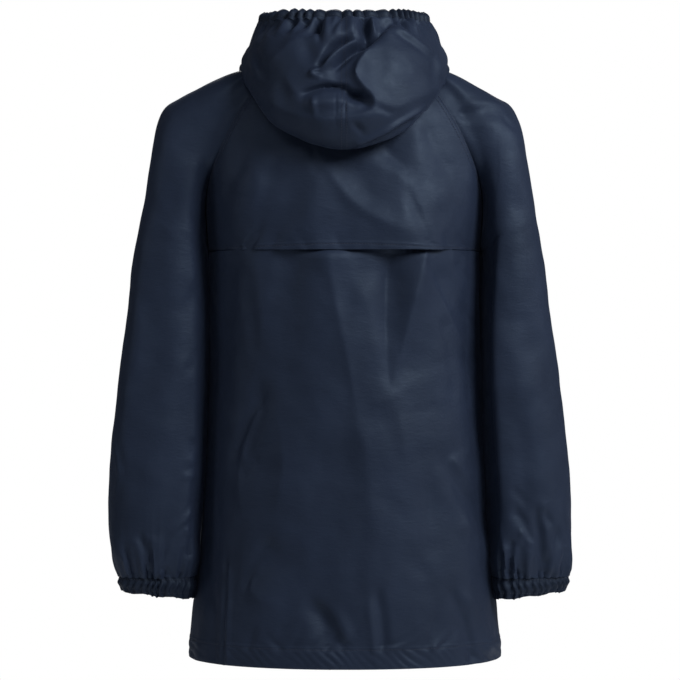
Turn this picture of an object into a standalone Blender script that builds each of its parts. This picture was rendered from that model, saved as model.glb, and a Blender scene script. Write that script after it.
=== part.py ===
"""A child's hooded raincoat of coated nylon, standing open and hollow as if it were worn.

Frame: metres, +Z up, the fronts face -Y, the wearer's left is +X. The origin lies between the
shoulders, at the height where they carry the coat, inside the neck opening.

The coat is a raglan cut. Every panel is a grid of points on a section through the coat, and
each grid becomes a closed wall. Panels that are sewn together share their seam's points.
"""
import math
from collections import namedtuple

import bmesh
import bpy
from mathutils import Vector

MM = 0.001

# ---- driving sizes, metres ----
WALL = 1.6 * MM             # cloth with its seam allowances and coating, as one wall
SEAM_GAP = 0.4 * MM         # between the edges of two pieces sewn together
NECK_GAP = 0.6 * MM         # between the hood and the neckline
ARM_CLEAR = 1.4 * MM        # between a sleeve and the body it hangs against
FLAP_CLEAR = 1.4 * MM       # from the body to the storm flap that lies on it
FLAP_HALF_WIDTH = 21 * MM
VENT_HEM_Z = -184 * MM      # free lower edge of the yoke
VENT_OVERLAP = 32 * MM      # how far the back panel runs up behind the yoke
VENT_SIDE = 112 * MM        # half the width over which it runs up
CUFF_HEIGHT = 19 * MM
CUFF_WAVES = 18
CUFF_WAVE_DEPTH = 1.7 * MM
RIM_WAVES = 38
RIM_WAVE_DEPTH = 1.5 * MM
RIM_HEIGHT = 9 * MM
HOOD_CENTRE_Y = 8 * MM      # axis round which the hood's profiles are set out

# ---- how finely each piece is divided ----
YOKE_COLUMNS = 20
FRONT_COLUMNS = 10
SLEEVE_COLUMNS = 28
RAGLAN_ROWS = 9
BACK_ROWS = 15
FRONT_ROWS = 13
SLEEVE_ROWS = 12
HOOD_STEPS = 13
FLAP_COLUMNS = 4
STEPS_PER_WAVE = 4

COLOUR_SHELL = (0.021, 0.027, 0.047, 1.0)
COLOUR_ELASTIC = (0.017, 0.021, 0.037, 1.0)

# ---- sections, millimetres ----
# A station runs from the neck (first row) to the underarm (last row). The seam columns place
# the back and front raglan seams, over_* the line along the top of the shoulder and arm, and
# half/back_depth/front_depth/square give the body's section, a superellipse. arm_depth is half
# the depth of the sleeve's section. turn says how the sleeve leaves the seam: -1 flat on with
# the body, 1 turned in under the arm.
Station = namedtuple("Station", "back_x back_z mid_back_z front_x front_z mid_front_z "
                     "over_x over_z half back_depth front_depth square arm_depth turn uneven")
RAGLAN = [Station(*row) for row in (
    (60.0,   11,    8,  58.0,  -14,  -38,  78.0,  16.0,  78.0,  62.0,  62.0, 2.00, 50.0, -1.0, 0.0),
    (77.0,   -2,   -4,  75.0,  -30,  -52,  98.0,  10.0, 101.0,  73.0,  75.0, 2.20, 63.0, -1.0, 1.5),
    (91.5,  -14,  -18,  90.0,  -46,  -64, 119.0,   3.0, 120.0,  83.0,  84.0, 2.35, 72.0, -1.0, 3.0),
    (105.0, -32,  -36, 103.0,  -64,  -80, 141.5,  -6.5, 134.0,  91.5,  92.0, 2.45, 76.0, -1.0, 4.5),
    (119.0, -56,  -59, 116.0,  -86, -100, 163.0, -17.5, 143.5,  97.5,  98.0, 2.50, 74.0, -0.5, 5.5),
    (131.0, -82,  -84, 128.0, -108, -118, 180.5, -31.0, 149.0, 101.5, 102.0, 2.50, 70.0,  0.5, 5.5),
    (140.5, -107, -108, 137.5, -130, -137, 190.5, -56.0, 151.0, 104.5, 105.0, 2.50, 68.0, 1.0, 5.5),
    (145.0, -131, -131, 142.5, -150, -155, 197.0, -85.0, 150.0, 106.5, 106.5, 2.45, 66.5, 1.0, 5.5),
    (145.0, -157, -157, 144.5, -168, -171, 203.0, -117.0, 147.0, 107.5, 107.5, 2.40, 65.0, 1.0, 5.5),
    (143.5, -182, -184, 143.5, -182, -182, 209.0, -156.0, 143.5, 108.0, 108.0, 2.35, 63.0, 1.0, 5.5),
)]
UNDERARM = len(RAGLAN) - 1

# The body below the underarm.
Girth = namedtuple("Girth", "z half back_depth front_depth square")
BODY = [Girth(*row) for row in (
    (-145, 145.5, 107.0, 106.5, 2.42),
    (-182, 143.5, 108.0, 108.0, 2.35),
    (-230, 143.5, 109.0, 110.0, 2.30),
    (-300, 144.0, 111.0, 112.0, 2.30),
    (-380, 146.0, 114.5, 115.0, 2.30),
    (-450, 149.0, 118.5, 119.0, 2.30),
    (-510, 153.0, 122.5, 123.0, 2.30),
    (-560, 158.5, 126.0, 127.0, 2.30),
    (-609, 161.0, 129.0, 130.0, 2.30),
)]
HEM_Z = BODY[-1].z

# The sleeve below the underarm: the section's inner and outer ends, half its depth, its centre.
# uneven is how much wider the left sleeve hangs than the right one, on each of its edges.
Sleeve = namedtuple("Sleeve", "in_z in_x out_z out_x depth y uneven")
SLEEVE = [Sleeve(*row) for row in (
    (-182, 143.5, -156, 209.0, 63.0,  0.0, 5.5),
    (-212, 144.0, -196, 216.0, 63.0,  1.5, 5.5),
    (-250, 144.5, -240, 221.0, 62.0,  3.0, 5.5),
    (-295, 144.5, -288, 227.5, 60.0,  5.0, 5.0),
    (-340, 145.0, -335, 233.5, 58.0,  7.0, 4.5),
    (-385, 146.0, -382, 238.5, 56.0,  9.0, 4.5),
    (-425, 147.5, -424, 243.0, 54.0, 11.5, 4.0),
    (-462, 149.0, -462, 245.0, 52.0, 13.5, 3.5),
    (-492, 150.0, -492, 244.0, 49.5, 15.5, 3.0),
    (-510, 152.0, -510, 240.0, 45.0, 16.5, 1.5),
    (-523, 155.0, -523, 236.0, 38.5, 17.5, 0.0),
)]

# The hood's profile at six bearings (0 back, 90 side, 180 front), from the neckline over the
# inner roll, down to the lowest fold and up the outside to the rim: r is the reach from the
# hood's axis and z the height.
HOOD_BEARINGS = (0, 30, 60, 90, 135, 180)
HoodStep = namedtuple("HoodStep", "r0 r30 r60 r90 r135 r180 z0 z30 z60 z90 z135 z180")
HOOD = [HoodStep(*row) for row in (
    (58.0,  66.0,  77.0,  80.0, 76.0, 71.0,  20,  21,  25, 27, -12, -33),
    (69.0,  74.0,  83.0,  86.0, 79.0, 72.5,  26,  27,  30, 33,  -9, -30),
    (82.0,  86.0,  91.0,  92.0, 82.0, 74.0,   6,  10,  21, 31,  -6, -26),
    (91.0,  96.0,  99.0,  98.0, 86.0, 75.5, -28, -18,   6, 24,  -2, -22),
    (98.0, 102.0, 106.0, 103.0, 89.0, 77.0, -64, -46,  -6, 17,   2, -18),
    (106.0, 109.0, 113.0, 108.0, 91.0, 78.5, -80, -63, -14, 13,   6, -14),
    (117.0, 118.0, 117.0, 107.5, 92.0, 80.0, -82, -64, -13, 17,  10, -10),
    (128.0, 127.0, 117.0, 104.0, 92.0, 81.0, -68, -50,  -3, 24,  14,  -6),
    (134.0, 131.0, 115.0, 101.0, 91.5, 82.0, -38, -22,  12, 32,  19,  -2),
    (130.0, 127.0, 111.0,  98.5, 90.5, 82.5,  -2,   8,  28, 40,  24,   2),
    (116.0, 114.0, 104.0,  94.5, 89.0, 82.5,  32,  36,  43, 49,  29,   5),
    (95.0,  98.0,  95.0,  89.0, 87.0, 82.0,  53,  54,  55, 56,  34,   8),
)]

# The largest folds of the back, seen from behind: a soft trough or ridge between two points.
Fold = namedtuple("Fold", "x0 z0 x1 z1 push width")
BACK_FOLDS = [Fold(*row) for row in (
    (-50, -190, -60, -300, -5.0, 16),
    (-86, -188, -58, -290, 4.5, 15),
    (18, -190, -10, -330, -3.5, 17),
    (-10, -330, -34, -470, -3.0, 18),
    (-98, -210, -140, -305, -3.5, 14),
    (-112, -400, -146, -470, -3.5, 15),
    (88, -340, 112, -400, -3.5, 14),
    (82, -490, 104, -535, -3.0, 13),
)]
YOKE_FOLDS = [Fold(*row) for row in (
    (84, -95, 112, -150, 3.0, 15),
    (34, -70, -24, -130, -3.0, 17),
    (-70, -60, -92, -130, 2.5, 16),
)]
FRONT_FOLDS = [Fold(*row) for row in (
    (-96, -190, -60, -330, -3.5, 17),
    (70, -170, 96, -300, -3.5, 17),
    (-50, -360, -74, -500, -3.0, 18),
    (58, -390, 40, -540, -3.0, 18),
    (110, -420, 140, -480, -3.5, 15),
)]
# Folds of the sleeves: along is the row in SLEEVE, round the turn from the inner edge (0.25 is
# the back, 0.5 the outer edge).
SLEEVE_ROW_TURN = 0.11      # a row of SLEEVE is about this share of a turn long
SleeveFold = namedtuple("SleeveFold", "along0 round0 along1 round1 push width")
SLEEVE_FOLDS = [SleeveFold(*row) for row in (
    (1.0, 0.12, 3.5, 0.30, -3.0, 0.05),
    (4.5, 0.16, 7.5, 0.08, -3.5, 0.05),
    (6.0, 0.36, 8.0, 0.44, -3.0, 0.05),
    (2.0, 0.70, 5.0, 0.82, -3.5, 0.06),
    (5.5, 0.78, 8.0, 0.68, -3.0, 0.06),
)]
# How far the free edge of the yoke stands off the back, by place across it.
VentLift = namedtuple("VentLift", "x lift")
VENT_LIFTS = [VentLift(*row) for row in (
    (-150, 0.0), (-125, 3.6), (-96, 6.5), (-70, 12.5), (-44, 8.0), (-15, 4.2),
    (35, 3.8), (80, 4.2), (122, 3.6), (150, 0.0))]


# ---- interpolation ----
def smooth_step(value, low, high):
    share = min(max((value - low) / (high - low), 0.0), 1.0)
    return share * share * (3.0 - 2.0 * share)


def curve_value(p0, p1, p2, p3, share):
    """Catmull-Rom value between p1 and p2."""
    return 0.5 * (2 * p1 + (p2 - p0) * share
                  + (2 * p0 - 5 * p1 + 4 * p2 - p3) * share ** 2
                  + (3 * p1 - p0 - 3 * p2 + p3) * share ** 3)


def blend_rows(rows, at):
    """The row of a table at a place between its rows, on a smooth curve."""
    first = min(max(int(math.floor(at)), 0), len(rows) - 2)
    share = at - first
    before = rows[first - 1] if first else rows[0]
    after = rows[first + 2] if first + 2 < len(rows) else rows[-1]
    return type(rows[0])(*(curve_value(*values, share) for values in
                           zip(before, rows[first], rows[first + 1], after)))


def place_in(rows, value, column=0):
    """Where a value lies in a table's steadily changing column, as a row number."""
    last = len(rows) - 1
    rising = rows[last][column] > rows[0][column]
    for index in range(last):
        low, high = rows[index][column], rows[index + 1][column]
        inside = low <= value <= high if rising else high <= value <= low
        if inside:
            return index + (value - low) / (high - low)
    return 0.0 if (value < rows[0][column]) == rising else float(last)


def even_points(path, count, samples=160):
    """count + 1 points at even steps along path(0..1)."""
    points = [path(index / samples) for index in range(samples + 1)]
    reach = [0.0]
    for before, after in zip(points, points[1:]):
        reach.append(reach[-1] + (after - before).length)
    chosen = [points[0]]
    index = 0
    for step in range(1, count):
        wanted = reach[-1] * step / count
        while reach[index + 1] < wanted:
            index += 1
        share = (wanted - reach[index]) / (reach[index + 1] - reach[index])
        chosen.append(points[index].lerp(points[index + 1], share))
    return chosen + [points[-1]]


# ---- the body's sections ----
def bulge(x, half, depth, square):
    """Depth of a superellipse section at x."""
    return depth * max(1.0 - abs(x / half) ** square, 0.0) ** (1.0 / square)


def raglan_seam(at, side, face):
    """A point of the raglan seam: at is the place in RAGLAN, face 1 the back and -1 the front."""
    row = blend_rows(RAGLAN, at)
    x, z, depth = ((row.back_x, row.back_z, row.back_depth) if face > 0 else
                   (row.front_x, row.front_z, row.front_depth))
    x = min(x, row.half)
    y = 0.0 if at >= UNDERARM else bulge(x, row.half, depth, row.square)
    return Vector((side * x, face * y, z)) * MM


def upper_row(at, face, left_end, right_end):
    """The body's surface at one raglan station, as a path from one x share to another.

    A share of 1 is the left seam, -1 the right seam and 0 the centre line.
    """
    row = blend_rows(RAGLAN, at)
    x_seam, z_seam, depth, z_mid = (
        (row.back_x, row.back_z, row.back_depth, row.mid_back_z) if face > 0 else
        (row.front_x, row.front_z, row.front_depth, row.mid_front_z))
    x_seam = min(x_seam, row.half)
    reach = math.asin(min((x_seam / row.half) ** (row.square / 2.0), 1.0))

    def path(share):
        angle = reach * (left_end + (right_end - left_end) * share)
        x = math.copysign(row.half * abs(math.sin(angle)) ** (2.0 / row.square), angle)
        y = depth * math.cos(angle) ** (2.0 / row.square)
        z = z_mid + (z_seam - z_mid) * (x / x_seam) ** 2
        return Vector((x, face * y, z)) * MM
    return path


def girth_at(z):
    return blend_rows(BODY, place_in(BODY, z))


def lower_point(angle, z, face):
    """The body's surface below the underarm; angle runs from 90 degrees left to -90 right."""
    girth = girth_at(z)
    power = 2.0 / girth.square
    depth = girth.back_depth if face > 0 else girth.front_depth
    x = math.copysign(girth.half * abs(math.sin(angle)) ** power, angle)
    return Vector((x, face * depth * abs(math.cos(angle)) ** power, z)) * MM


def body_side(y, z):
    """How far out the body reaches at this depth and height, metres in and out."""
    girth = girth_at(min(z / MM, BODY[1].z))
    depth = girth.back_depth if y > 0 else girth.front_depth
    return bulge(y / MM, depth, girth.half, girth.square) * MM


def clear_of_body(point, side):
    """Moves a point of an arm out, where it would meet the body below the underarm."""
    if point.z < BODY[1].z * MM:
        nearest = body_side(point.y, point.z) + ARM_CLEAR
        point.x = side * max(side * point.x, nearest)
    return point


# ---- folds ----
def near_fold(fold, u, v, u0, v0, u1, v1):
    """How strongly a fold between two points acts at (u, v), from 0 to 1."""
    length_2 = (u1 - u0) ** 2 + (v1 - v0) ** 2
    share = ((u - u0) * (u1 - u0) + (v - v0) * (v1 - v0)) / length_2
    share = min(max(share, 0.0), 1.0)
    away = math.hypot(u - u0 - share * (u1 - u0), v - v0 - share * (v1 - v0))
    return math.exp(-(away / fold.width) ** 2)


def body_fold_push(point, folds):
    x, z = point.x / MM, point.z / MM
    return MM * sum(fold.push * near_fold(fold, x, z, fold.x0, fold.z0, fold.x1, fold.z1)
                    for fold in folds)


def vent_lift(point):
    """How far the yoke stands off the body at a point of it."""
    down = smooth_step(-point.z / MM, 104.0, 180.0)
    if down == 0.0:
        return 0.0
    across = place_in(VENT_LIFTS, point.x / MM)
    return max(blend_rows(VENT_LIFTS, across).lift, 0.0) * MM * down


# ---- sheets: grids of points that become walls ----
class Sheet:
    """A grid of points, its outward normals and the rows that close on themselves."""

    def __init__(self, name, rows, closed_from=None, face_out=1.0):
        self.name = name
        self.rows = rows
        self.closed_from = len(rows) if closed_from is None else closed_from
        self.face_out = face_out
        self.fixed = {}
        self.find_normals()

    def columns(self):
        return len(self.rows[0])

    def find_normals(self):
        last_row, last_column = len(self.rows) - 1, self.columns() - 1
        self.normals = []
        for row_index, row in enumerate(self.rows):
            closed = row_index >= self.closed_from
            normals = []
            for column in range(len(row)):
                before, after = max(column - 1, 0), min(column + 1, last_column)
                if closed and column in (0, last_column):
                    before, after = last_column - 1, 1
                across = row[after] - row[before]
                down = (self.rows[min(row_index + 1, last_row)][column]
                        - self.rows[max(row_index - 1, 0)][column])
                normal = across.cross(down) * self.face_out
                normals.append(normal.normalized())
            self.normals.append(normals)

    def push(self, amount):
        """Moves each point along its normal by amount(row, column, point)."""
        self.rows = [[point + self.normals[r][c] * amount(r, c, point)
                      for c, point in enumerate(row)] for r, row in enumerate(self.rows)]
        self.find_normals()


def part_edges(first, first_cells, second, second_cells, gap=SEAM_GAP, down=Vector((0, 0, -1))):
    """Parts two sheets along the seam that they share, and mitres their walls there.

    The cells are (row, column, row of the neighbour inside, column of it) in seam order.
    """
    moves = []
    count = len(first_cells)
    for index in range(count):
        r1, c1, in_r1, in_c1 = first_cells[index]
        r2, c2, _, _ = second_cells[index]
        point = first.rows[r1][c1]
        normal = first.normals[r1][c1] + second.normals[r2][c2]
        if normal.length < 0.25:
            normal = down.copy()
        normal.normalize()
        ahead = first_cells[min(index + 1, count - 1)]
        behind = first_cells[max(index - 1, 0)]
        along = first.rows[ahead[0]][ahead[1]] - first.rows[behind[0]][behind[1]]
        across = along.cross(normal).normalized()
        if across.dot(point - first.rows[in_r1][in_c1]) < 0.0:
            across.negate()
        moves.append((r1, c1, r2, c2, normal, across * (gap / 2.0)))
    for r1, c1, r2, c2, normal, shift in moves:
        first.rows[r1][c1] = first.rows[r1][c1] - shift
        second.rows[r2][c2] = second.rows[r2][c2] + shift
        for sheet, cell in ((first, (r1, c1)), (second, (r2, c2))):
            old = sheet.fixed.get(cell)
            sheet.fixed[cell] = normal if old is None else (old + normal).normalized()


def wall_faces(sheet):
    """The grid's points, each once, and its faces as lists of point numbers."""
    points, normals, numbers, faces = [], [], {}, []
    last = sheet.columns() - 1
    for r, row in enumerate(sheet.rows):
        for c, point in enumerate(row):
            if r >= sheet.closed_from and c == last:
                numbers[r, c] = numbers[r, 0]
                continue
            numbers[r, c] = len(points)
            points.append(point)
            normals.append(sheet.fixed.get((r, c), sheet.normals[r][c]))
    for r in range(len(sheet.rows) - 1):
        for c in range(last):
            corners = [numbers[r, c], numbers[r, c + 1], numbers[r + 1, c + 1], numbers[r + 1, c]]
            faces.append(corners)
    return points, normals, faces


def build_wall(sheet, material, wall=WALL):
    """The closed wall of a sheet: its face, the same face moved in, and the edge between."""
    points, normals, faces = wall_faces(sheet)
    mesh = bpy.data.meshes.new(sheet.name)
    shape = bmesh.new()
    outer = [shape.verts.new(point) for point in points]
    inner = [shape.verts.new(point - normal * wall) for point, normal in zip(points, normals)]
    sides = {}
    for face in faces:
        shape.faces.new([outer[number] for number in face])
        shape.faces.new([inner[number] for number in reversed(face)])
        for start, end in zip(face, face[1:] + face[:1]):
            sides[start, end] = sides.get((start, end), 0) + 1
    for start, end in sides:
        if (end, start) not in sides:
            shape.faces.new([outer[end], outer[start], inner[start], inner[end]])
    bmesh.ops.triangulate(shape, faces=shape.faces[:])
    bmesh.ops.recalc_face_normals(shape, faces=shape.faces[:])
    shape.to_mesh(mesh)
    shape.free()
    mesh.shade_smooth()
    mesh.set_sharp_from_angle(angle=math.radians(50))
    mesh.materials.append(material)
    piece = bpy.data.objects.new(sheet.name, mesh)
    bpy.context.scene.collection.objects.link(piece)
    return piece


# ---- the pieces ----
def make_yoke():
    """Upper back: from the neckline to the free hem of the vent."""
    rows = []
    for index in range(RAGLAN_ROWS + 1):
        at = UNDERARM * index / RAGLAN_ROWS
        rows.append(even_points(upper_row(at, 1, 1.0, -1.0), YOKE_COLUMNS))
    return Sheet("back_yoke", rows, face_out=-1.0)


def make_back():
    """Lower back: from behind the vent to the hem."""
    rows = []
    for index in range(BACK_ROWS + 1):
        share = index / BACK_ROWS
        row = []
        for column in range(YOKE_COLUMNS + 1):
            angle = math.pi / 2 * (1.0 - 2.0 * column / YOKE_COLUMNS)
            x = abs(lower_point(angle, VENT_HEM_Z / MM, 1).x)
            raised = VENT_OVERLAP * (1.0 - smooth_step(x, VENT_SIDE - 14 * MM, VENT_SIDE))
            top = VENT_HEM_Z - 1.2 * MM + raised
            z = top + (HEM_Z * MM - top) * share
            row.append(lower_point(angle, z / MM, 1))
        rows.append(row)
    return Sheet("back_panel", rows, face_out=-1.0)


def make_front(side):
    """A front, from the centre line to the raglan seam and the side seam."""
    rows = []
    for index in range(RAGLAN_ROWS + 1):
        at = UNDERARM * index / RAGLAN_ROWS
        rows.append(even_points(upper_row(at, -1, 0.0, side), FRONT_COLUMNS))
    for index in range(1, FRONT_ROWS + 1):
        z = BODY[1].z + (HEM_Z - BODY[1].z) * index / FRONT_ROWS

        def path(share, height=z):
            return lower_point(side * math.pi / 2 * share, height, -1)
        rows.append(even_points(path, FRONT_COLUMNS))
    name = "front_left" if side > 0 else "front_right"
    return Sheet(name, rows, face_out=-side)


def sleeve_arc(at, side):
    """The sleeve's section at a raglan station, from the back seam over the top to the front.

    Each half is part of an ellipse that lies level at the top. It turns in by its dip angle
    before it meets the seam, so at the underarm both halves make one closed ring.
    """
    row = blend_rows(RAGLAN, at)
    top = Vector((side * (row.over_x + side * row.uneven), 0.0, row.over_z)) * MM
    halves = []
    for face in (1, -1):
        seam = raglan_seam(at, side, face)
        depth = row.arm_depth * MM
        dip = row.turn * math.acos(min(abs(seam.y) / depth, 1.0))
        if at < UNDERARM:
            depth = abs(seam.y) / math.cos(dip)
        drop = (seam - top) / (1.0 + math.sin(dip))
        drop.y = 0.0
        halves.append((face, depth, dip, drop))

    def path(share):
        angle = -halves[0][2] + (math.pi + halves[0][2] + halves[1][2]) * share
        face, depth, _, drop = halves[0] if angle <= math.pi / 2 else halves[1]
        point = top + drop * (1.0 - math.sin(angle))
        point.y = face * depth * abs(math.cos(angle))
        return point
    return path


def sleeve_ring(at, side):
    """The sleeve's closed section below the underarm, from its inner edge round the back."""
    row = blend_rows(SLEEVE, at)
    inner = Vector((side * (row.in_x - 0.7 * side * row.uneven), row.y, row.in_z)) * MM
    outer = Vector((side * (row.out_x + side * row.uneven), row.y, row.out_z)) * MM
    centre, reach = (inner + outer) / 2, (outer - inner) / 2
    depth = row.depth * MM

    def path(share):
        angle = -math.pi / 2 + 2 * math.pi * share
        point = centre + reach * math.sin(angle)
        point.y += depth * math.cos(angle)
        return clear_of_body(point, side)
    return path


def make_sleeve(side):
    rows = []
    for index in range(RAGLAN_ROWS + 1):
        at = UNDERARM * index / RAGLAN_ROWS
        rows.append(even_points(sleeve_arc(at, side), SLEEVE_COLUMNS))
    for index in range(1, SLEEVE_ROWS + 1):
        at = (len(SLEEVE) - 1) * index / SLEEVE_ROWS
        rows.append(even_points(sleeve_ring(at, side), SLEEVE_COLUMNS))
    name = "sleeve_left" if side > 0 else "sleeve_right"
    sheet = Sheet(name, rows, closed_from=UNDERARM, face_out=side)

    def fold_push(r, c, _point):
        if r <= RAGLAN_ROWS:
            return 0.0
        along = (len(SLEEVE) - 1) * (r - RAGLAN_ROWS) / SLEEVE_ROWS
        turn = c / SLEEVE_COLUMNS
        stretch = SLEEVE_ROW_TURN
        push = sum(fold.push * near_fold(fold, along * stretch, turn,
                                         fold.along0 * stretch, fold.round0,
                                         fold.along1 * stretch, fold.round1)
                   for fold in SLEEVE_FOLDS)
        return push * MM
    sheet.push(fold_push)
    return sheet


def make_cuff(side):
    """The gathered casing that closes a sleeve."""
    ring = sleeve_ring(len(SLEEVE) - 1, side)
    count = CUFF_WAVES * STEPS_PER_WAVE
    top = even_points(ring, count)
    centre = sum(top[:-1], Vector()) / count
    rows = []
    for level in range(3):
        drop = SEAM_GAP + (CUFF_HEIGHT - SEAM_GAP) * level / 2
        row = []
        for index, point in enumerate(top):
            out = point - centre
            wave = math.cos(2 * math.pi * index / STEPS_PER_WAVE) * CUFF_WAVE_DEPTH
            swell = 0.6 * MM if level == 1 else -1.0 * MM
            size = 1.0 + (wave + swell) / out.length
            row.append(clear_of_body(centre + out * size - Vector((0, 0, drop)), side))
        rows.append(row)
    name = "cuff_left" if side > 0 else "cuff_right"
    return Sheet(name, rows, closed_from=0, face_out=side)


def hood_point(step, bearing, side):
    """A point of the hood's profile at a bearing, in degrees from the centre back."""
    row = blend_rows(HOOD, step)
    count = len(HOOD_BEARINGS)
    first = min(place_in([(value,) for value in HOOD_BEARINGS], bearing), count - 1.001)
    share = first - int(first)
    first = int(first)
    # Beyond the centre back and the centre front the profile repeats as in a mirror.
    numbers = [abs(first - 1), first, first + 1, min(first + 2, 2 * count - first - 4)]
    reach = curve_value(*(row[number] for number in numbers), share)
    height = curve_value(*(row[number + count] for number in numbers), share)
    angle = math.radians(bearing)
    return Vector((side * reach * math.sin(angle),
                   HOOD_CENTRE_Y / MM + reach * math.cos(angle), height)) * MM


def bearing_of(point):
    return math.degrees(math.atan2(abs(point.x), point.y - HOOD_CENTRE_Y))


def make_hood(side, neckline):
    """One half of the hood, from the neckline to the rim, from centre back to centre front."""
    rows = [[point.copy() for point in neckline]]
    bearings = [bearing_of(point) for point in neckline]
    bearings[0], bearings[-1] = 0.0, 180.0
    for index in range(1, HOOD_STEPS + 1):
        step = (len(HOOD) - 1) * (index - 1) / (HOOD_STEPS - 1)
        rows.append([hood_point(step, bearing, side) for bearing in bearings])
    name = "hood_left" if side > 0 else "hood_right"
    return Sheet(name, rows, face_out=-side)


def polyline_path(points):
    """A path of straight lines through points."""
    last = len(points) - 1

    def path(share):
        first = min(int(share * last), last - 1)
        return points[first].lerp(points[first + 1], share * last - first)
    return path


def rim_frame(point):
    """The wall's direction at the rim's seam, and the way across the seam, up into the rim.

    The cloth leans in over the opening at the back and sides, and stands up at the front.
    """
    out = Vector((point.x, point.y - HOOD_CENTRE_Y, 0.0)).normalized()
    tilt = math.radians(24.0 + 16.0 * out.y)
    up = Vector((0, 0, 1))
    return (out * math.cos(tilt) + up * math.sin(tilt),
            up * math.cos(tilt) - out * math.sin(tilt))


def make_rim(hoods):
    """The gathered casing round the face opening, on the edge of the two hood halves."""
    edge = hoods[1].rows[-1] + list(reversed(hoods[-1].rows[-1]))
    edge.append(edge[0])
    count = RIM_WAVES * STEPS_PER_WAVE
    base = even_points(polyline_path(edge), count, samples=20 * count)
    rows = []
    for level in range(3):
        row = []
        for index, point in enumerate(base):
            normal, across = rim_frame(point)
            wave = math.cos(2 * math.pi * index / STEPS_PER_WAVE) * RIM_WAVE_DEPTH
            swell = 0.8 * MM if level == 1 else 0.0
            row.append(point + across * (SEAM_GAP / 2 + RIM_HEIGHT * level / 2)
                       + normal * (wave * min(level, 1) + swell))
        rows.append(row)
    sheet = Sheet("hood_rim", rows, closed_from=0, face_out=-1.0)
    for column, point in enumerate(base):
        sheet.fixed[0, column] = rim_frame(point)[0]
    return sheet


def front_point(at, x):
    """The front's surface at a place across it: at counts the rows of a front."""
    if at <= RAGLAN_ROWS:
        row = blend_rows(RAGLAN, UNDERARM * at / RAGLAN_ROWS)
        y = -bulge(x, row.half, row.front_depth, row.square)
        z = row.mid_front_z + (row.front_z - row.mid_front_z) * (x / row.front_x) ** 2
        return Vector((x, y, z)) * MM
    z = BODY[1].z + (HEM_Z - BODY[1].z) * (at - RAGLAN_ROWS) / FRONT_ROWS
    girth = girth_at(z)
    return Vector((x, -bulge(x, girth.half, girth.front_depth, girth.square), z)) * MM


def hood_front_point(step, x):
    """The hood's surface near its centre front."""
    reach = blend_rows(HOOD, step).r180
    return hood_point(step, 180.0 - math.degrees(math.asin(x / reach)), 1)


def make_storm_flap():
    """A plain placket that lies over the closed centre front, from the rim to the hem."""
    rows = []
    across = [FLAP_HALF_WIDTH / MM * (1.0 - 2.0 * column / FLAP_COLUMNS)
              for column in range(FLAP_COLUMNS + 1)]
    last = len(HOOD) - 1
    for index in range(HOOD_STEPS - 2, 0, -1):
        step = last * index / (HOOD_STEPS - 1)
        rows.append([hood_front_point(step, x) for x in across])
    for index in range(1, RAGLAN_ROWS + FRONT_ROWS + 1):
        rows.append([front_point(index, x) for x in across])
    rows[-1] = [point + Vector((0, 0, 1.5 * MM)) for point in rows[-1]]
    sheet = Sheet("storm_flap", rows)
    sheet.push(lambda r, c, point: FLAP_CLEAR + WALL)
    return sheet


# ---- assembly ----
def fabric(name, colour, roughness):
    material = bpy.data.materials.new(name)
    material.use_nodes = True
    shader = material.node_tree.nodes["Principled BSDF"]
    shader.inputs["Base Color"].default_value = colour
    shader.inputs["Roughness"].default_value = roughness
    shader.inputs["Metallic"].default_value = 0.0
    return material


def edge_cells(sheet, column, last_row):
    """The cells down one edge of a sheet, each with the cell inside it."""
    inside = 1 if column == 0 else column - 1
    return [(row, column, row, inside) for row in range(last_row + 1)]


def neck_frame(point):
    """The wall's direction at the neckline, and the way across the seam, up into the hood."""
    out = Vector((point.x, point.y, 0.0)).normalized()
    up = Vector((0, 0, 1))
    return (out + up).normalized(), (up - out).normalized()


def open_neck_edge(sheet, into_hood):
    """Draws a sheet's first row back from the neckline."""
    for column, point in enumerate(sheet.rows[0]):
        normal, across = neck_frame(point)
        sheet.fixed[0, column] = normal
        sheet.rows[0][column] = point + across * (NECK_GAP / 2 if into_hood else -NECK_GAP / 2)


def open_rim_edge(hood):
    """Draws the hood's last row back from the rim."""
    last = len(hood.rows) - 1
    for column, point in enumerate(hood.rows[last]):
        normal, across = rim_frame(point)
        hood.fixed[last, column] = normal
        hood.rows[last][column] = point - across * (SEAM_GAP / 2)


def open_centre_edge(sheet, column, side):
    """Draws a sheet's edge back from the plane x = 0."""
    for r, row in enumerate(sheet.rows):
        row[column] = Vector((side * SEAM_GAP / 2, row[column].y, row[column].z))
        normal = sheet.fixed.get((r, column), sheet.normals[r][column]).copy()
        normal.x = 0.0
        sheet.fixed[r, column] = normal.normalized()


def open_side_edge(sheet, column, first_row, side, face):
    """Draws a panel's edge back from the side seam."""
    for r in range(first_row, len(sheet.rows)):
        point = sheet.rows[r][column]
        sheet.rows[r][column] = Vector((point.x, face * SEAM_GAP / 2, point.z))
        sheet.fixed[r, column] = Vector((side, 0.0, 0.0))


def set_underarm(sheet, cell, shift, normal):
    """Places a sheet's corner at the underarm."""
    point = raglan_seam(UNDERARM, math.copysign(1, normal[0] or shift[0]), 1)
    sheet.rows[cell[0]][cell[1]] = point + Vector(shift) * MM
    sheet.fixed[cell] = Vector(normal).normalized()


def neckline_of(yoke, sleeve, front, side):
    """Half the neckline, from centre back to centre front, through every second point."""
    middle = YOKE_COLUMNS // 2
    back = yoke.rows[0][middle::-2] if side > 0 else yoke.rows[0][middle::2]
    return back + sleeve.rows[0][2::2] + front.rows[0][-3::-2]


def fade_in(column, last):
    """0 at a panel's edges, 1 three columns in."""
    return smooth_step(min(column, last - column), 0.0, 3.0)


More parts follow.
